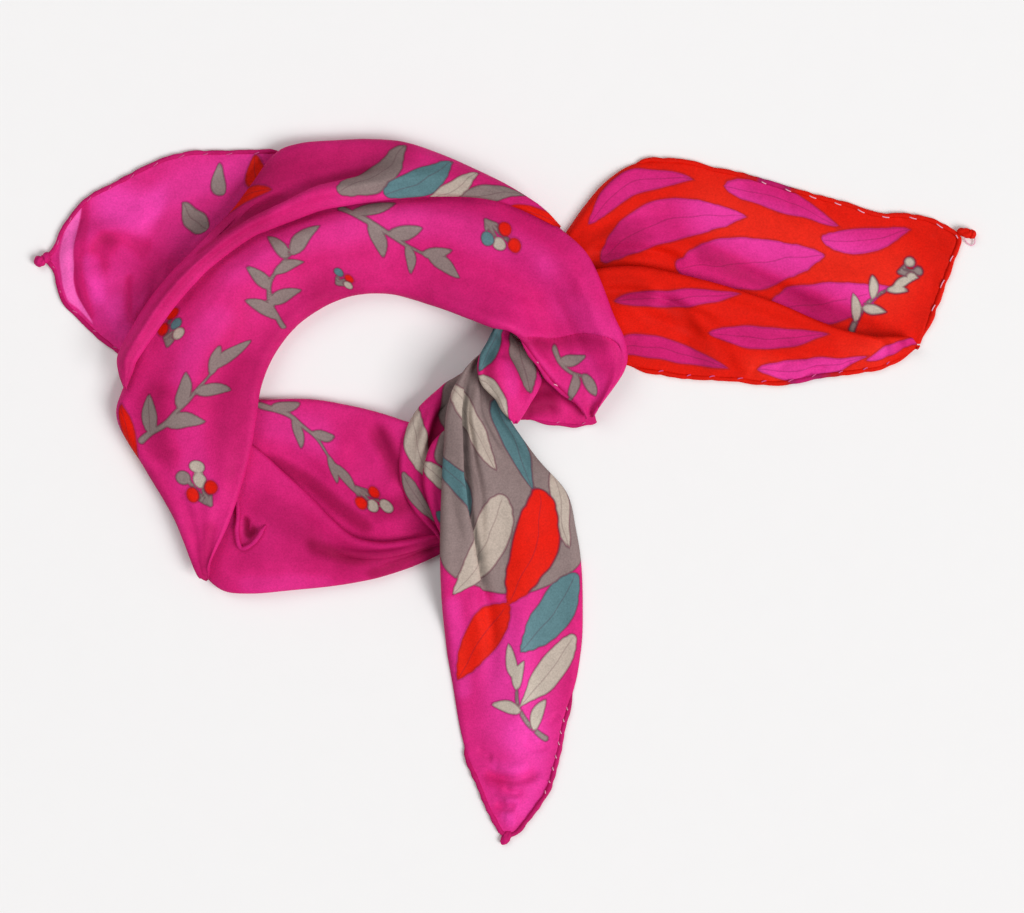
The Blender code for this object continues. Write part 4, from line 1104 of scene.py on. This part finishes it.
knotLoop = {
    "rows": [
        (-1, 58, 90, 8, 0.5, 0, 1.7, 1.7),
        (0, 54.5, 90, 13, 1.5, 0, 2.2, 2.2),
        (0.5, 49.5, 92, 19.5, 2, 0, 2.4, 2.4),
        (1.5, 45, 92, 22.5, 2.5, 0.1, 2.6, 2.6),
        (2.5, 40.5, 92, 22.5, 2.5, 0.1, 2.6, 2.6),
        (3, 37, 91, 19, 2, 0, 2.4, 2.4),
        (3.5, 33.5, 90, 13.5, 1.5, 0, 2.2, 2.2),
        (3.5, 29, 90, 8.5, 0.5, 0, 1.7, 1.7),
    ],
    "before": [(0.5, 62, 88, 7, 0.4, 0, 1.4, 1.4)],
    "after": [(4.2, 24.8, 80, 1.4, 0, 0, 0.8, 0.8)],
    "edges": ("folded", "folded"), "tops": 5, "spacing": 4,
    "creases": [
        ([(3, -2), (6.6, -3.7), (13.2, -10), (19.8, -11), (27.4, -8), (32, -3)], 1.2, 1.5, 0.5),
        ([(5, 1), (8.8, 1.5), (15.4, 6.5), (24.2, 7.6), (30.6, 3.4)], 0.8, 1.8, -0.5),
        ([(12, -2), (18, -2), (24, -2)], -0.9, 3.6, 0),
        ([(28, 0), (34, 0), (40, 0)], 0.8, 1.4, 0.3),
    ],
    "tone": [
        ([(7, -3), (13, -8), (21, -9), (28, -6)], 3.4, -0.6), ([(9, 2), (16, 6), (25, 6)], 2.2, -0.25),
        ([(18, 0), (25, 0)], 4, 0.25),
    ],
    "print": [
        ("teal", [(0, -1), (9, -7), (18, -13)], 4, "leaf"),
        ("grey", [(4, 5), (15, 8), (27, 8)], 4.4, "leaf"),
        ("silver", [(20, -14), (26, -8), (36, -3)], 3.4, "leaf"),
    ],
    "ripple": 0.1,
}
makeSheet("knot_loop", knotLoop, "hangingTail")

ringBand = {
    "rows": [
        (-110.5, -27.5, 127, 7.5, 0.5, 0, 1.8, 1.8),
        (-111, -11.5, 91, 20, 2, 0, 2.8, 1.8),
        (-113.5, 8, 90, 37.5, 4, 0, 3.8, 2),
        (-117, 26, 90, 51.5, 5.5, 0, 4.2, 2.4),
        (-114.5, 39.5, 90, 51, 6.5, -0.1, 4.4, 3.4),
        (-107, 57, 78, 48, 6.5, -0.2, 4.2, 4.2),
        (-92, 75.5, 56, 44, 6.5, -0.3, 4.2, 4.5),
        (-71, 88.5, 34, 42, 6.5, -0.3, 4.2, 4.6),
        (-46.5, 93.5, 10, 42.5, 6, -0.35, 4, 4.6),
        (-21, 91.5, -11, 48, 6, -0.35, 3.8, 4.5),
        (-8.5, 87, -16, 48, 6, -0.35, 3.4, 4.2),
        (3, 82, -20, 47, 5.5, -0.3, 3, 3.8),
        (11, 77.5, -26, 42.5, 5, -0.2, 3.2, 3),
        (19, 70, -39, 39.5, 4.5, -0.1, 3.2, 2.2),
        (28, 53.5, -47, 33, 4, -0.1, 3, 1.8),
        (33, 45.5, -54, 29, 3, 0, 2.6, 1.7),
        (35, 38.5, -57, 22, 2, 0, 2.2, 1.7),
        (32.5, 30, -60, 7.5, 0.5, 0, 1.7, 1.7),
    ],
    "before": [(-109.4, -32.6, 132, 1.2, 0, 0, 0.8, 0.8), (-109.9, -30.6, 129, 4.4, 0.2, 0, 1.2, 1.2)],
    "start": 2.2,
    "after": [(31.6, 27.2, -62, 3.2, 0, 0, 0.9, 0.9)],
    "folds": [(11.5, 15.5, 0.75, 0.35, -1.2, 4), (2, 6.5, 0.45, 0.35, -1, 6)],
    "edges": ("folded", "folded"), "tops": 7, "spacing": 8,
    "laps": [
        ([(235, 23), (239, 19), (244, 12.5), (249.6, 5.5), (255.6, -5.4), (261.7, -11.8), (266, -13.5),
          (271, -12.5)],
         0.15, 4.6, 0.5, 0.9, 0.35),
    ],
    "creases": [
        ([(239, 21), (245, 13.5), (251, 6), (257, -3), (263, -10)], 0.7, 2.4, 0.3),
        ([(244, 17), (252, 12), (264, 11)], 0.9, 2.4, 0.3),
        ([(268, -12), (274, -4), (280, 2)], 0.2, 2.4, 0.2),
        ([(54, 10), (76, 9), (98, 12)], 1, 6, 0.3),
        ([(162, 2), (188, 4), (212, 10)], 0.8, 7, 0.2),
        ([(198, -14), (218, -8), (238, -4)], -0.8, 6, 0),
        ([(22, -10), (42, -14), (64, -18)], 0.7, 4, 0.2),
        ([(6, 0), (18, 3), (34, 7)], 0.9, 2.4, 0.3), ([(8, -2), (22, -5), (38, -10)], 0.7, 2.2, 0.3),
        ([(104, 14), (124, 10), (146, 12)], 0.7, 5, -0.3),
        ([(84, -18), (106, -12), (128, -12)], -0.6, 5, 0),
    ],
    "tone": [
        ([(120, -10), (150, -5), (180, -6), (226, -6)], 9, 0.3), ([(38, -2), (58, 0)], 8, 0.2),
        ([(50, -12), (70, -14)], 7, -0.35),
        ([(78, -4), (100, -2)], 7, 0.3), ([(46, 12), (84, 21), (104, 22), (146, 18)], 10, -0.26),
        ([(240, 20), (251, 8), (263, -8)], 3.4, -0.2), ([(246, 15), (256, 11)], 3.5, -0.2),
        ([(4, 0), (20, 2)], 4, -0.3),
        ([(250, -8), (262, -14)], 7, 0.2), ([(232, -8), (242, -2)], 8, 0.2),
        ([(262, 2), (276, 0)], 5, 0.2), ([(24, -14), (40, -18)], 5, -0.25),
    ],
    "print": [
        *sprig(54, -19, 42, 38, 4, 15, 5, ("grey",)),
        *sprig(108, 20, -38, 36, -4, 14, 5, ("grey",)),
        *sprig(158, -13, 33, 36, 3, 14, 5, ("grey",)),
        *berries(30, 3, -28, 2.6, ("red", "silver", "red", "grey", "silver")),
        *berries(88, -15, -6, 2.1, ("red", "teal", "silver", "red")),
        *berries(144, 16, -18, 1.9, ("teal", "red", "silver")),
        *berries(205, -12, 34, 2.5, ("red", "silver", "teal", "red")),
        ("red", [(44, -26), (56, -24), (68, -26)], 3.4, "leaf"),
        *sprig(252, 9, -14, 16, 2, 11, 2, ("grey",)),
    ],
    "ripple": 0.24,
}
makeSheet("ring_band", ringBand, "ring_core")

outerFold = {
    "rows": [
        (-138.5, 44, 98, 6, 0.4, 0, 1.7, 1.7),
        (-138, 49, 77, 8, 1, 0, 1.8, 1.8),
        (-132.5, 58.5, 86, 10.5, 2, 0, 2.2, 2),
        (-126, 68.5, 80, 11, 2.5, 0, 2.4, 2),
        (-118.5, 77.5, 75, 11, 2.5, 0, 2.4, 2.2),
        (-111, 85, 65, 10.5, 2.5, 0.1, 2.4, 2.2),
        (-97, 97.5, 37, 13, 2.5, 0.4, 2.4, 2.2),
        (-89, 104.5, 26, 19, 2.5, 0.6, 2.6, 2.2),
        (-80, 112, 20, 26.5, 3, 0.6, 2.8, 2.2),
        (-71, 115.5, 19, 27, 3.5, 0.6, 3.2, 2.2),
        (-59.5, 117, 13, 25.5, 3.5, 0.5, 3.4, 2.2),
        (-47.5, 118, 9, 24, 3.5, 0.4, 3.6, 2.2),
        (-35.5, 118, 7, 21.5, 3, 0.2, 3.6, 2.2),
        (-23, 116, 5, 16.5, 2.5, 0, 3.2, 2),
        (-11.5, 113, -6, 11, 1.8, 0, 2.4, 1.8),
        (-1.5, 109.5, -28, 7.5, 1, 0, 1.7, 1.7),
        (7.5, 105, -55, 6, 0.4, 0, 1.7, 1.7),
    ],
    "before": [(-138.9, 37.4, 102, 0.8, 0, 0, 0.8, 0.8)],
    "after": [(13.5, 101.4, -48, 4, 0.2, 0, 1.2, 1.2), (20.3, 96.4, -42, 1.2, 0, 0, 0.8, 0.8)],
    "folds": [(5.5, 8, -0.3, 0.3, -2.5, 3), (7, 11.5, 0.2, 0.1, -3.2, 4)],
    "edges": ("folded", "folded"), "tops": 7, "spacing": 7,
    "creases": [
        ([(50, -5.8), (59.2, -5.7), (76.7, -2.4), (90, 1.8), (101.7, 4.6), (117, 1.1), (129, -2.1),
          (140, -6)], 1.6, 2.8, -0.5),
        ([(118, -4), (128, -8), (138, -11)], 0.7, 2.4, 0.3),
        ([(88, -10), (104, -8), (120, -11)], -0.5, 3, 0),
        ([(140, 8), (156, 8), (176, 6)], 0.5, 2, 0.3),
    ],
    "tone": [
        ([(74, -9), (100, -7), (124, -7), (140, -10)], 9, -0.36),
        ([(60, -5), (90, 1.5), (102, 4), (128, -2)], 3, -0.35),
        ([(20, 1), (56, 1), (84, 6)], 5.5, -0.24), ([(4, 0), (14, 0)], 4, -0.25),
    ],
    "print": [
        ("red", [(72, -14), (82, -10), (92, -3)], 3.2, "leaf"),
        ("grey", [(116, 11), (131, 3), (143, -13)], 6.2, "leaf"),
        ("teal", [(133, 11), (149, 3), (160, -9)], 5.2, "leaf"),
        ("silver", [(150, 11), (161, 4), (169, -6)], 3.6, "leaf"),
        ("grey", [(162, 9), (174, 2), (186, -4)], 3.6, "leaf"),
        ("red", [(184, 5), (194, 1), (206, -2)], 3, "leaf"),
    ],
    "ripple": 0.16,
}
makeSheet("outer_fold", outerFold, "ringBand")

# rolled hems: the edge of the silk turned over on itself and whipped down

hemLook = {
    "sides": 12,  # of the tube
    "step": 1.1,  # between its rings
    "flat": 0.82,  # its height, as a share of its width
    "over": 0.2,  # how far it reaches over the silk's edge
    "wobble": (0.26, 3.5),  # how uneven its thickness is, and over what length
    "sway": (0.35, 9.0),  # how far it wanders in and out, and over what length
    "out": 0.15,  # how far it stands out all along
    "taper": 10.0,  # the length over which it thins out at its ends
    "thinnest": 0.3,
    "drawIn": 1.6,  # how far in it runs where it thins out
    "pinch": 0.1,  # how much a stitch squeezes it
    "pinchHalf": 1.5,
    "scallop": 0.14,  # how far a stitch pulls it in
    "overTable": 0.15,  # the least gap to the table
    "overCloth": 0.2,  # and to the cloth below
    "tone": -0.05,
}
whipped = {
    "thread": "dyed",
    "first": 0,  # where the first stitch that shows is
    "every": 9.5,
    "uneven": 0.27,  # how far a stitch is off its place, as a share of that
    "margin": 4.0,  # without stitches at both ends
    "length": 1.7,
    "swing": (70, 12),  # degrees round the hem, from one end of a stitch to the other
    "varies": 0.6,  # how much its length varies, as a share of it
    "bulge": 0.06,  # how far its middle stands out, in radii of the hem
    "points": 5,
    "sides": 6,
    "radius": 0.2,  # of the thread
    "proud": 0.1,  # how far it stands off the hem
}
nubForm = {
    "mesh": (28, 18),  # segments and rings of a lobe
    "ridges": (0.12, 4, 5),  # of the winding: how high, how many round and how they turn along the lobe
    "lumps": (0.2, 2),  # how high, and how many to a lobe
    "lift": 1.25,  # height of its middle, in half thicknesses
    "overTable": 0.1,
}
curlForm = {
    "points": 44,
    "thinnest": 0.4,
    "ends": 6,  # the higher, the sooner it is whole from its ends
    "wobble": (0.1, 31, 17),  # how uneven its thickness is, and two rates of that
}


def edgeOf(sheet, side, first=0.0, last=far, column=0):
    # the points of one side with the way out, and their place on the flat cloth
    column, inward = (column, column + 6) if side == "left" else (-1 - column, -7 - column)
    picked = (sheet["places"] >= first) & (sheet["places"] <= last)
    out = (sheet["grid"][:, column] - sheet["grid"][:, inward])[picked]
    return [sheet["grid"][picked, column], out, sheet["s"][picked, column], sheet["t"][picked, column]]


def endOf(sheet, end):
    row, inward = (0, 1) if end == "first" else (-1, -2)
    out = sheet["grid"][row] - sheet["grid"][inward]
    inner = slice(4, -4, 2)  # every second point, without the corners
    return [part[inner] for part in (sheet["grid"][row], out, sheet["s"][row], sheet["t"][row])]


def turned(edge):
    return [part[::-1] for part in edge]


def tubeMesh(path, radii, sides, flat=1.0):
    cap = 0.6  # how far the point of each end stands out, in radii
    ahead = unit(np.gradient(path, axis=0))
    side = unit(np.cross(ahead, [0, 0, 1.0]))
    rise = np.cross(side, ahead)
    angles = np.arange(sides) / sides * math.tau
    rings = (path[:, None] + (side[:, None] * np.cos(angles)[None, :, None]
                              + rise[:, None] * np.sin(angles)[None, :, None] * flat) * radii[:, None, None])
    points = np.concatenate([rings.reshape(-1, 3), path[:1] - ahead[:1] * radii[0] * cap,
                             path[-1:] + ahead[-1:] * radii[-1] * cap])
    count = len(path)
    faces = []
    for i in range(count - 1):
        for k in range(sides):
            a, b = i * sides + k, i * sides + (k + 1) % sides
            faces.append((b, a, a + sides, b + sides))
    for k in range(sides):
        after = (k + 1) % sides
        faces.append((k, after, count * sides))
        faces.append(((count - 1) * sides + after, (count - 1) * sides + k, count * sides + 1))
    return points, faces


def asHem(obj, nodes=()):
    if nodes:
        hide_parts(*nodes)
    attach(obj, "root")
    return obj


def readAlong(at, marks, values):
    return np.stack([np.interp(at, marks, values[:, k]) for k in range(3)], axis=-1)


def whipStitches(name, stitch, seed, stitchMarks, marks, path, way, radius):
    allPoints, allFaces = [], []
    start, end = stitch["swing"]
    for number, mark in enumerate(stitchMarks):
        if mark < stitch["first"]:
            continue
        length = stitch["length"] * (1 + stitch["varies"] * noise.noise(Vector((number * 3.1, seed, 2))))
        line = []
        for part in np.linspace(0, 1, stitch["points"]):
            at = mark + length * (part - 0.5)
            swing = math.radians(start + (end - start) * part)
            lift = radius * (1 - hemLook["pinch"] + stitch["bulge"] * math.sin(math.pi * part))
            rise = np.array([0, 0, lift * hemLook["flat"] * math.sin(swing) + stitch["proud"]])
            base, outward = readAlong(at, marks, path), readAlong(at, marks, way)
            line.append(base - outward * lift * math.cos(swing) + rise)
        points, faces = tubeMesh(np.array(line), np.full(len(line), stitch["radius"]), stitch["sides"])
        allFaces += [tuple(index + len(allPoints) for index in face) for face in faces]
        allPoints += points.tolist()
    return asHem(meshObject(name, np.array(allPoints), allFaces, threads[stitch["thread"]]))


def rolledHem(name, nodes, sheet, edges, seed, radius, stitch=whipped):
    spots, outs, s, t = (np.concatenate(parts) for parts in zip(*edges))
    outs[:, 2] = 0
    outs = unit(outs)
    spots = spots + outs * (hemLook["over"] + cloth["hem"] - radius)
    run = runOf(np.linalg.norm(np.diff(spots[:, :2], axis=0), axis=1))
    marks = np.linspace(0, run[-1], max(int(run[-1] / hemLook["step"]), 4))
    path, way = readAlong(marks, run, spots), readAlong(marks, run, outs)
    for _ in range(3):
        path[1:-1] = (path[:-2] + 2 * path[1:-1] + path[2:]) / 4
    thinnest = hemLook["thinnest"]
    taper = thinnest + (1 - thinnest) * smooth(np.minimum(marks, run[-1] - marks) / hemLook["taper"])
    drop = cloth["wall"] / 2 if nodes else 0
    for index, (x, y, z) in enumerate(path):
        thick = radius * taper[index]
        below = support(sheet["tree"], x, y, radius)
        path[index, 2] = max(z - drop, thick + hemLook["overTable"], below + hemLook["overCloth"] + thick)
    (wobble, wobbleLength), (sway, swayLength) = hemLook["wobble"], hemLook["sway"]
    wobbles = np.array([noise.noise(Vector((m / wobbleLength, seed, 0))) for m in marks])
    sways = np.array([noise.noise(Vector((m / swayLength, seed, 5))) for m in marks])
    stitchMarks = np.arange(stitch["margin"], run[-1] - stitch["margin"], stitch["every"])
    shifts = np.array([noise.noise(Vector((m * 0.37, seed, 9))) for m in stitchMarks])
    stitchMarks = stitchMarks + stitch["uneven"] * stitch["every"] * shifts
    pinch = np.exp(-((marks[:, None] - stitchMarks[None]) / hemLook["pinchHalf"]) ** 2).max(axis=1)
    radii = radius * taper * (1 + wobble * wobbles - hemLook["pinch"] * pinch)
    outward = sway * sways - hemLook["scallop"] * pinch + hemLook["out"] - hemLook["drawIn"] * (1 - taper)
    path = path + way * outward[:, None]
    points, faces = tubeMesh(path, radii, hemLook["sides"], hemLook["flat"])
    flat = np.stack([np.interp(marks, run, s), np.interp(marks, run, t)], axis=1)
    flat = np.concatenate([np.repeat(flat, hemLook["sides"], axis=0), flat[[0, -1]]])
    fields = dyeFields(*flat.T, [stroke for stroke in sheet["print"] if stroke[0] != "veil"])
    fields["rib"] = np.full(len(points), dyeForm["plain"])
    fields["tone"] = np.full(len(points), hemLook["tone"])
    hem = asHem(meshObject(name, points, faces, hemSilk, fields, flat), nodes)
    stitches = whipStitches(name + "Stitches", stitch, seed, stitchMarks, marks, path, way, radius)
    print(name, "rolled,", round(run[-1]), "mm,", len(stitchMarks), "stitches")
    return [hem, stitches]


def plainFields(count, tint=None):
    # one dye all over, or none
    deepest = dyeForm["deepest"]
    fields = {dye: np.full(count, float(-deepest if dye == tint else deepest)) for dye in dyes}
    return {**fields, "rib": np.full(count, dyeForm["plain"]), "tone": np.zeros(count)}


def cornerNub(name, nodes, lobes, tint, seed):
    # two hems rolled into each other at a corner and wound with thread: lobes of x, y, heading and size
    bpy.ops.object.select_all(action="DESELECT")
    (segments, rings), (high, around, along) = nubForm["mesh"], nubForm["ridges"]
    swell, lumps = nubForm["lumps"]
    parts = []
    for x, y, heading, size in lobes:
        bpy.ops.mesh.primitive_uv_sphere_add(segments=segments, ring_count=rings, radius=1.0)
        lobe = bpy.context.object
        turn = math.radians(heading)
        for v in lobe.data.vertices:
            ridge = 1 + high * math.sin(around * math.atan2(v.co.z, v.co.y) + along * v.co.x)
            ridge += swell * noise.noise(Vector((v.co.x * lumps, v.co.y * lumps, v.co.z * lumps + seed + x)))
            ahead, across, up = v.co.x * size[0], v.co.y * size[1] * ridge, v.co.z * size[2] * ridge
            v.co = ((x + ahead * math.cos(turn) - across * math.sin(turn) - cloth["middle"][0]) / 1000,
                    (y + ahead * math.sin(turn) + across * math.cos(turn) - cloth["middle"][1]) / 1000,
                    (up + size[2] * nubForm["lift"] + nubForm["overTable"]) / 1000)
        lobe.select_set(False)
        parts.append(lobe)
    for lobe in parts:
        lobe.select_set(True)
    bpy.context.view_layer.objects.active = parts[0]
    if len(parts) > 1:
        bpy.ops.object.join()
    nub = bpy.context.view_layer.objects.active
    nub.name = name
    # a sphere's points and faces come in another order each run, so they are put in order along a slant
    slant, ordered = Vector((1.0, 3.7, 11.3)), bmesh.new()
    ordered.from_mesh(nub.data)
    ordered.verts.sort(key=lambda v: v.co.dot(slant))
    ordered.faces.sort(key=lambda face: face.calc_center_median().dot(slant))
    ordered.to_mesh(nub.data)
    ordered.free()
    addFields(nub.data, plainFields(len(nub.data.vertices), tint))
    nub.data.uv_layers[0].name = "flat"
    nub.data.shade_smooth()
    nub.data.materials.clear()
    nub.data.materials.append(hemSilk)
    nub.select_set(False)
    return asHem(nub, nodes)


def smoothLine(path, count):
    return np.array([blended(np.array(path), place) for place in np.linspace(0, len(path) - 1, count)])


def looseThread(name, path, radius, thread):
    line = smoothLine(path, 24)
    points, faces = tubeMesh(line, np.full(len(line), radius), whipped["sides"])
    return asHem(meshObject(name, points, faces, threads[thread]))


def hemCurl(name, sheet, places, radius):
    # where a rolled hem comes out from between the layers and turns back
    path = []
    for s, t, rise in places:
        nearest = np.argmin((sheet["s"] - s) ** 2 + (sheet["t"] - t) ** 2)
        path.append(sheet["grid"].reshape(-1, 3)[nearest] + np.array([0, 0, rise]))
    path = smoothLine(path, curlForm["points"])
    share = np.linspace(0, 1, len(path))
    thinnest, (wobble, often, seldom) = curlForm["thinnest"], curlForm["wobble"]
    radii = radius * (thinnest + (1 - thinnest) * smooth(curlForm["ends"] * np.minimum(share, 1 - share)))
    radii *= 1 + wobble * np.sin(share * often) * np.sin(share * seldom)
    points, faces = tubeMesh(path, radii, hemLook["sides"], hemLook["flat"])
    return asHem(meshObject(name, points, faces, hemSilk, plainFields(len(points)), points[:, :2]))


left, right, tail, front, flap, band, fold = (sheets[key] for key in (
    "leftCorner", "rightTail", "hangingTail", "rightFront", "underFlap", "ringBand", "lowerFold"))

left["hems"] = rolledHem("leftCornerHem", ["left_corner_hem"], left, [
    turned(edgeOf(left, "left")), endOf(left, "first"), edgeOf(left, "right", last=4.2)], 1, 0.85)
left["hems"].append(cornerNub("leftCornerNub", ["left_corner_nub"], [
    (-171.6, 84.9, 195, (2.3, 2.0, 1.5)), (-169.3, 86.2, 250, (2.2, 1.5, 1.5))], None, 4))

right["hems"] = rolledHem("rightTailHem", ["right_tail_hem"], right, [
    edgeOf(right, "left", first=2.6), endOf(right, "last")], 2, 0.95,
    {**whipped, "thread": "pale", "first": 46, "length": 2.6, "swing": (62, 34)})
right["hems"].append(cornerNub("rightTailNub", ["right_tail_nub"], [
    (170.6, 95.3, -14, (3.6, 1.7, 1.5)), (172.6, 94.9, 20, (1.7, 1.7, 1.5))], "red", 6))
right["hems"].append(looseThread("rightTailLoop", [
    (170.0, 93.4, 1.4), (171.0, 91.8, 0.8), (172.6, 90.8, 0.6), (173.8, 91.6, 0.7), (173.9, 93.2, 1.2)],
    0.22, "pale"))

front["hems"] = rolledHem("rightFrontHem", ["right_front_hem"], front, [
    edgeOf(front, "right", first=1)], 3, 0.9)
flap["hems"] = rolledHem("underFlapHem", ["under_flap_hem"], flap, [edgeOf(flap, "right")], 4, 0.85,
                         {**whipped, "first": 10})

tail["hems"] = rolledHem("hangingTailHem", ["hanging_tail_hem"], tail, [
    edgeOf(tail, "left", first=12.2), endOf(tail, "last"), turned(edgeOf(tail, "right", first=10.9))],
    5, 0.95,
    {**whipped, "thread": "pale", "first": 60, "every": 4.6, "length": 1.1})
tail["hems"].append(cornerNub("hangingTailNub", [], [(0.6, -128.2, 236, (3.0, 1.6, 0.9))], None, 8))

band["hems"] = rolledHem("bandEndHem", [], band, [edgeOf(band, "right", first=12.4, last=16.6, column=7)],
                         6, 0.8, {**whipped, "thread": "pale", "length": 1.2})
fold["hems"] = [hemCurl("lowerFoldCurl", fold, [  # s, t and how far it stands over the cloth
    (5.5, -11, 0.2), (7.4, -6, 0.7), (9.2, -0.5, 0.8), (10.4, 4.5, 0.8), (11.8, 8.2, 0.8), (14.2, 8.8, 0.9),
    (16.8, 6.2, 0.9), (18.6, 2.8, 0.9), (19.8, -0.2, 0.7), (20.6, -2.2, 0.1)], 0.85)]


# the hidden layers keep their solids, in the same silk but plain and much darker, a painted shade: it shows
# only deep between the folds

innerSilkPaintedShade = mottledMaterial("innerSilkLayersPaintedShade", {"Roughness": 0.6, "Sheen Weight": 0.2},
                            (linear("#7d0d42"), linear("#a81558")),
                            [(60.0, 4.0), (1100.0, 2.0)], (0.2, 0.0002))
for node in ("ring_core", "knot_core", "tail_core"):
    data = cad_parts[node].data
    data.materials.clear()
    data.materials.append(innerSilkPaintedShade)
print("hems and cores done")

# the table, the light and the camera

# matt white paper, with faint fibres
paperCode = "#f7f6f6"
paper = mottledMaterial("mattWhitePaper", {"Roughness": 0.9}, (linear(paperCode), linear(paperCode, 0.985)),
                        [(90.0, 5.0)])
bpy.ops.mesh.primitive_plane_add(size=6.0, location=(0, 0, -0.0001))
floor = bpy.context.object
floor.name = "floor"
floor.data.materials.append(paper)
floor.select_set(False)

world = bpy.data.worlds.new("softWorld")
bpy.context.scene.world = world
world.use_nodes = True
sky = world.node_tree.nodes["Background"].inputs
sky["Color"].default_value = (1.0, 0.99, 0.985, 1)
sky["Strength"].default_value = 0.295

lamps = {  # place, aim, size and power of each soft box
    "keyBox": ((8.4, -5.25, 9.8), (0, 0, 0), 7.6, 1610.0),
    "fillBox": ((-2.4, 3.0, 4.6), (0, 0, 0), 4.0, 86.0),
}
for name, (where, aim, size, power) in lamps.items():
    data = bpy.data.lights.new(name, "AREA")
    data.shape = "SQUARE"
    data.size = size
    data.energy = power
    lamp = bpy.data.objects.new(name, data)
    lamp.location = where
    lamp.rotation_euler = (Vector(aim) - Vector(where)).to_track_quat("-Z", "Y").to_euler()
    bpy.context.scene.collection.objects.link(lamp)

cameraData = bpy.data.cameras.new("camera")
cameraData.sensor_width = 36.0
cameraData.sensor_fit = "HORIZONTAL"
cameraData.lens = 114.02  # 0.379 m across at the table, from 1.2 m up
camera = bpy.data.objects.new("camera", cameraData)
camera.location = (0.002625, 0.012075, 1.2)
bpy.context.scene.collection.objects.link(camera)
bpy.context.scene.camera = camera
bpy.context.scene.view_settings.view_transform = "Standard"  # the dyes keep their full strength
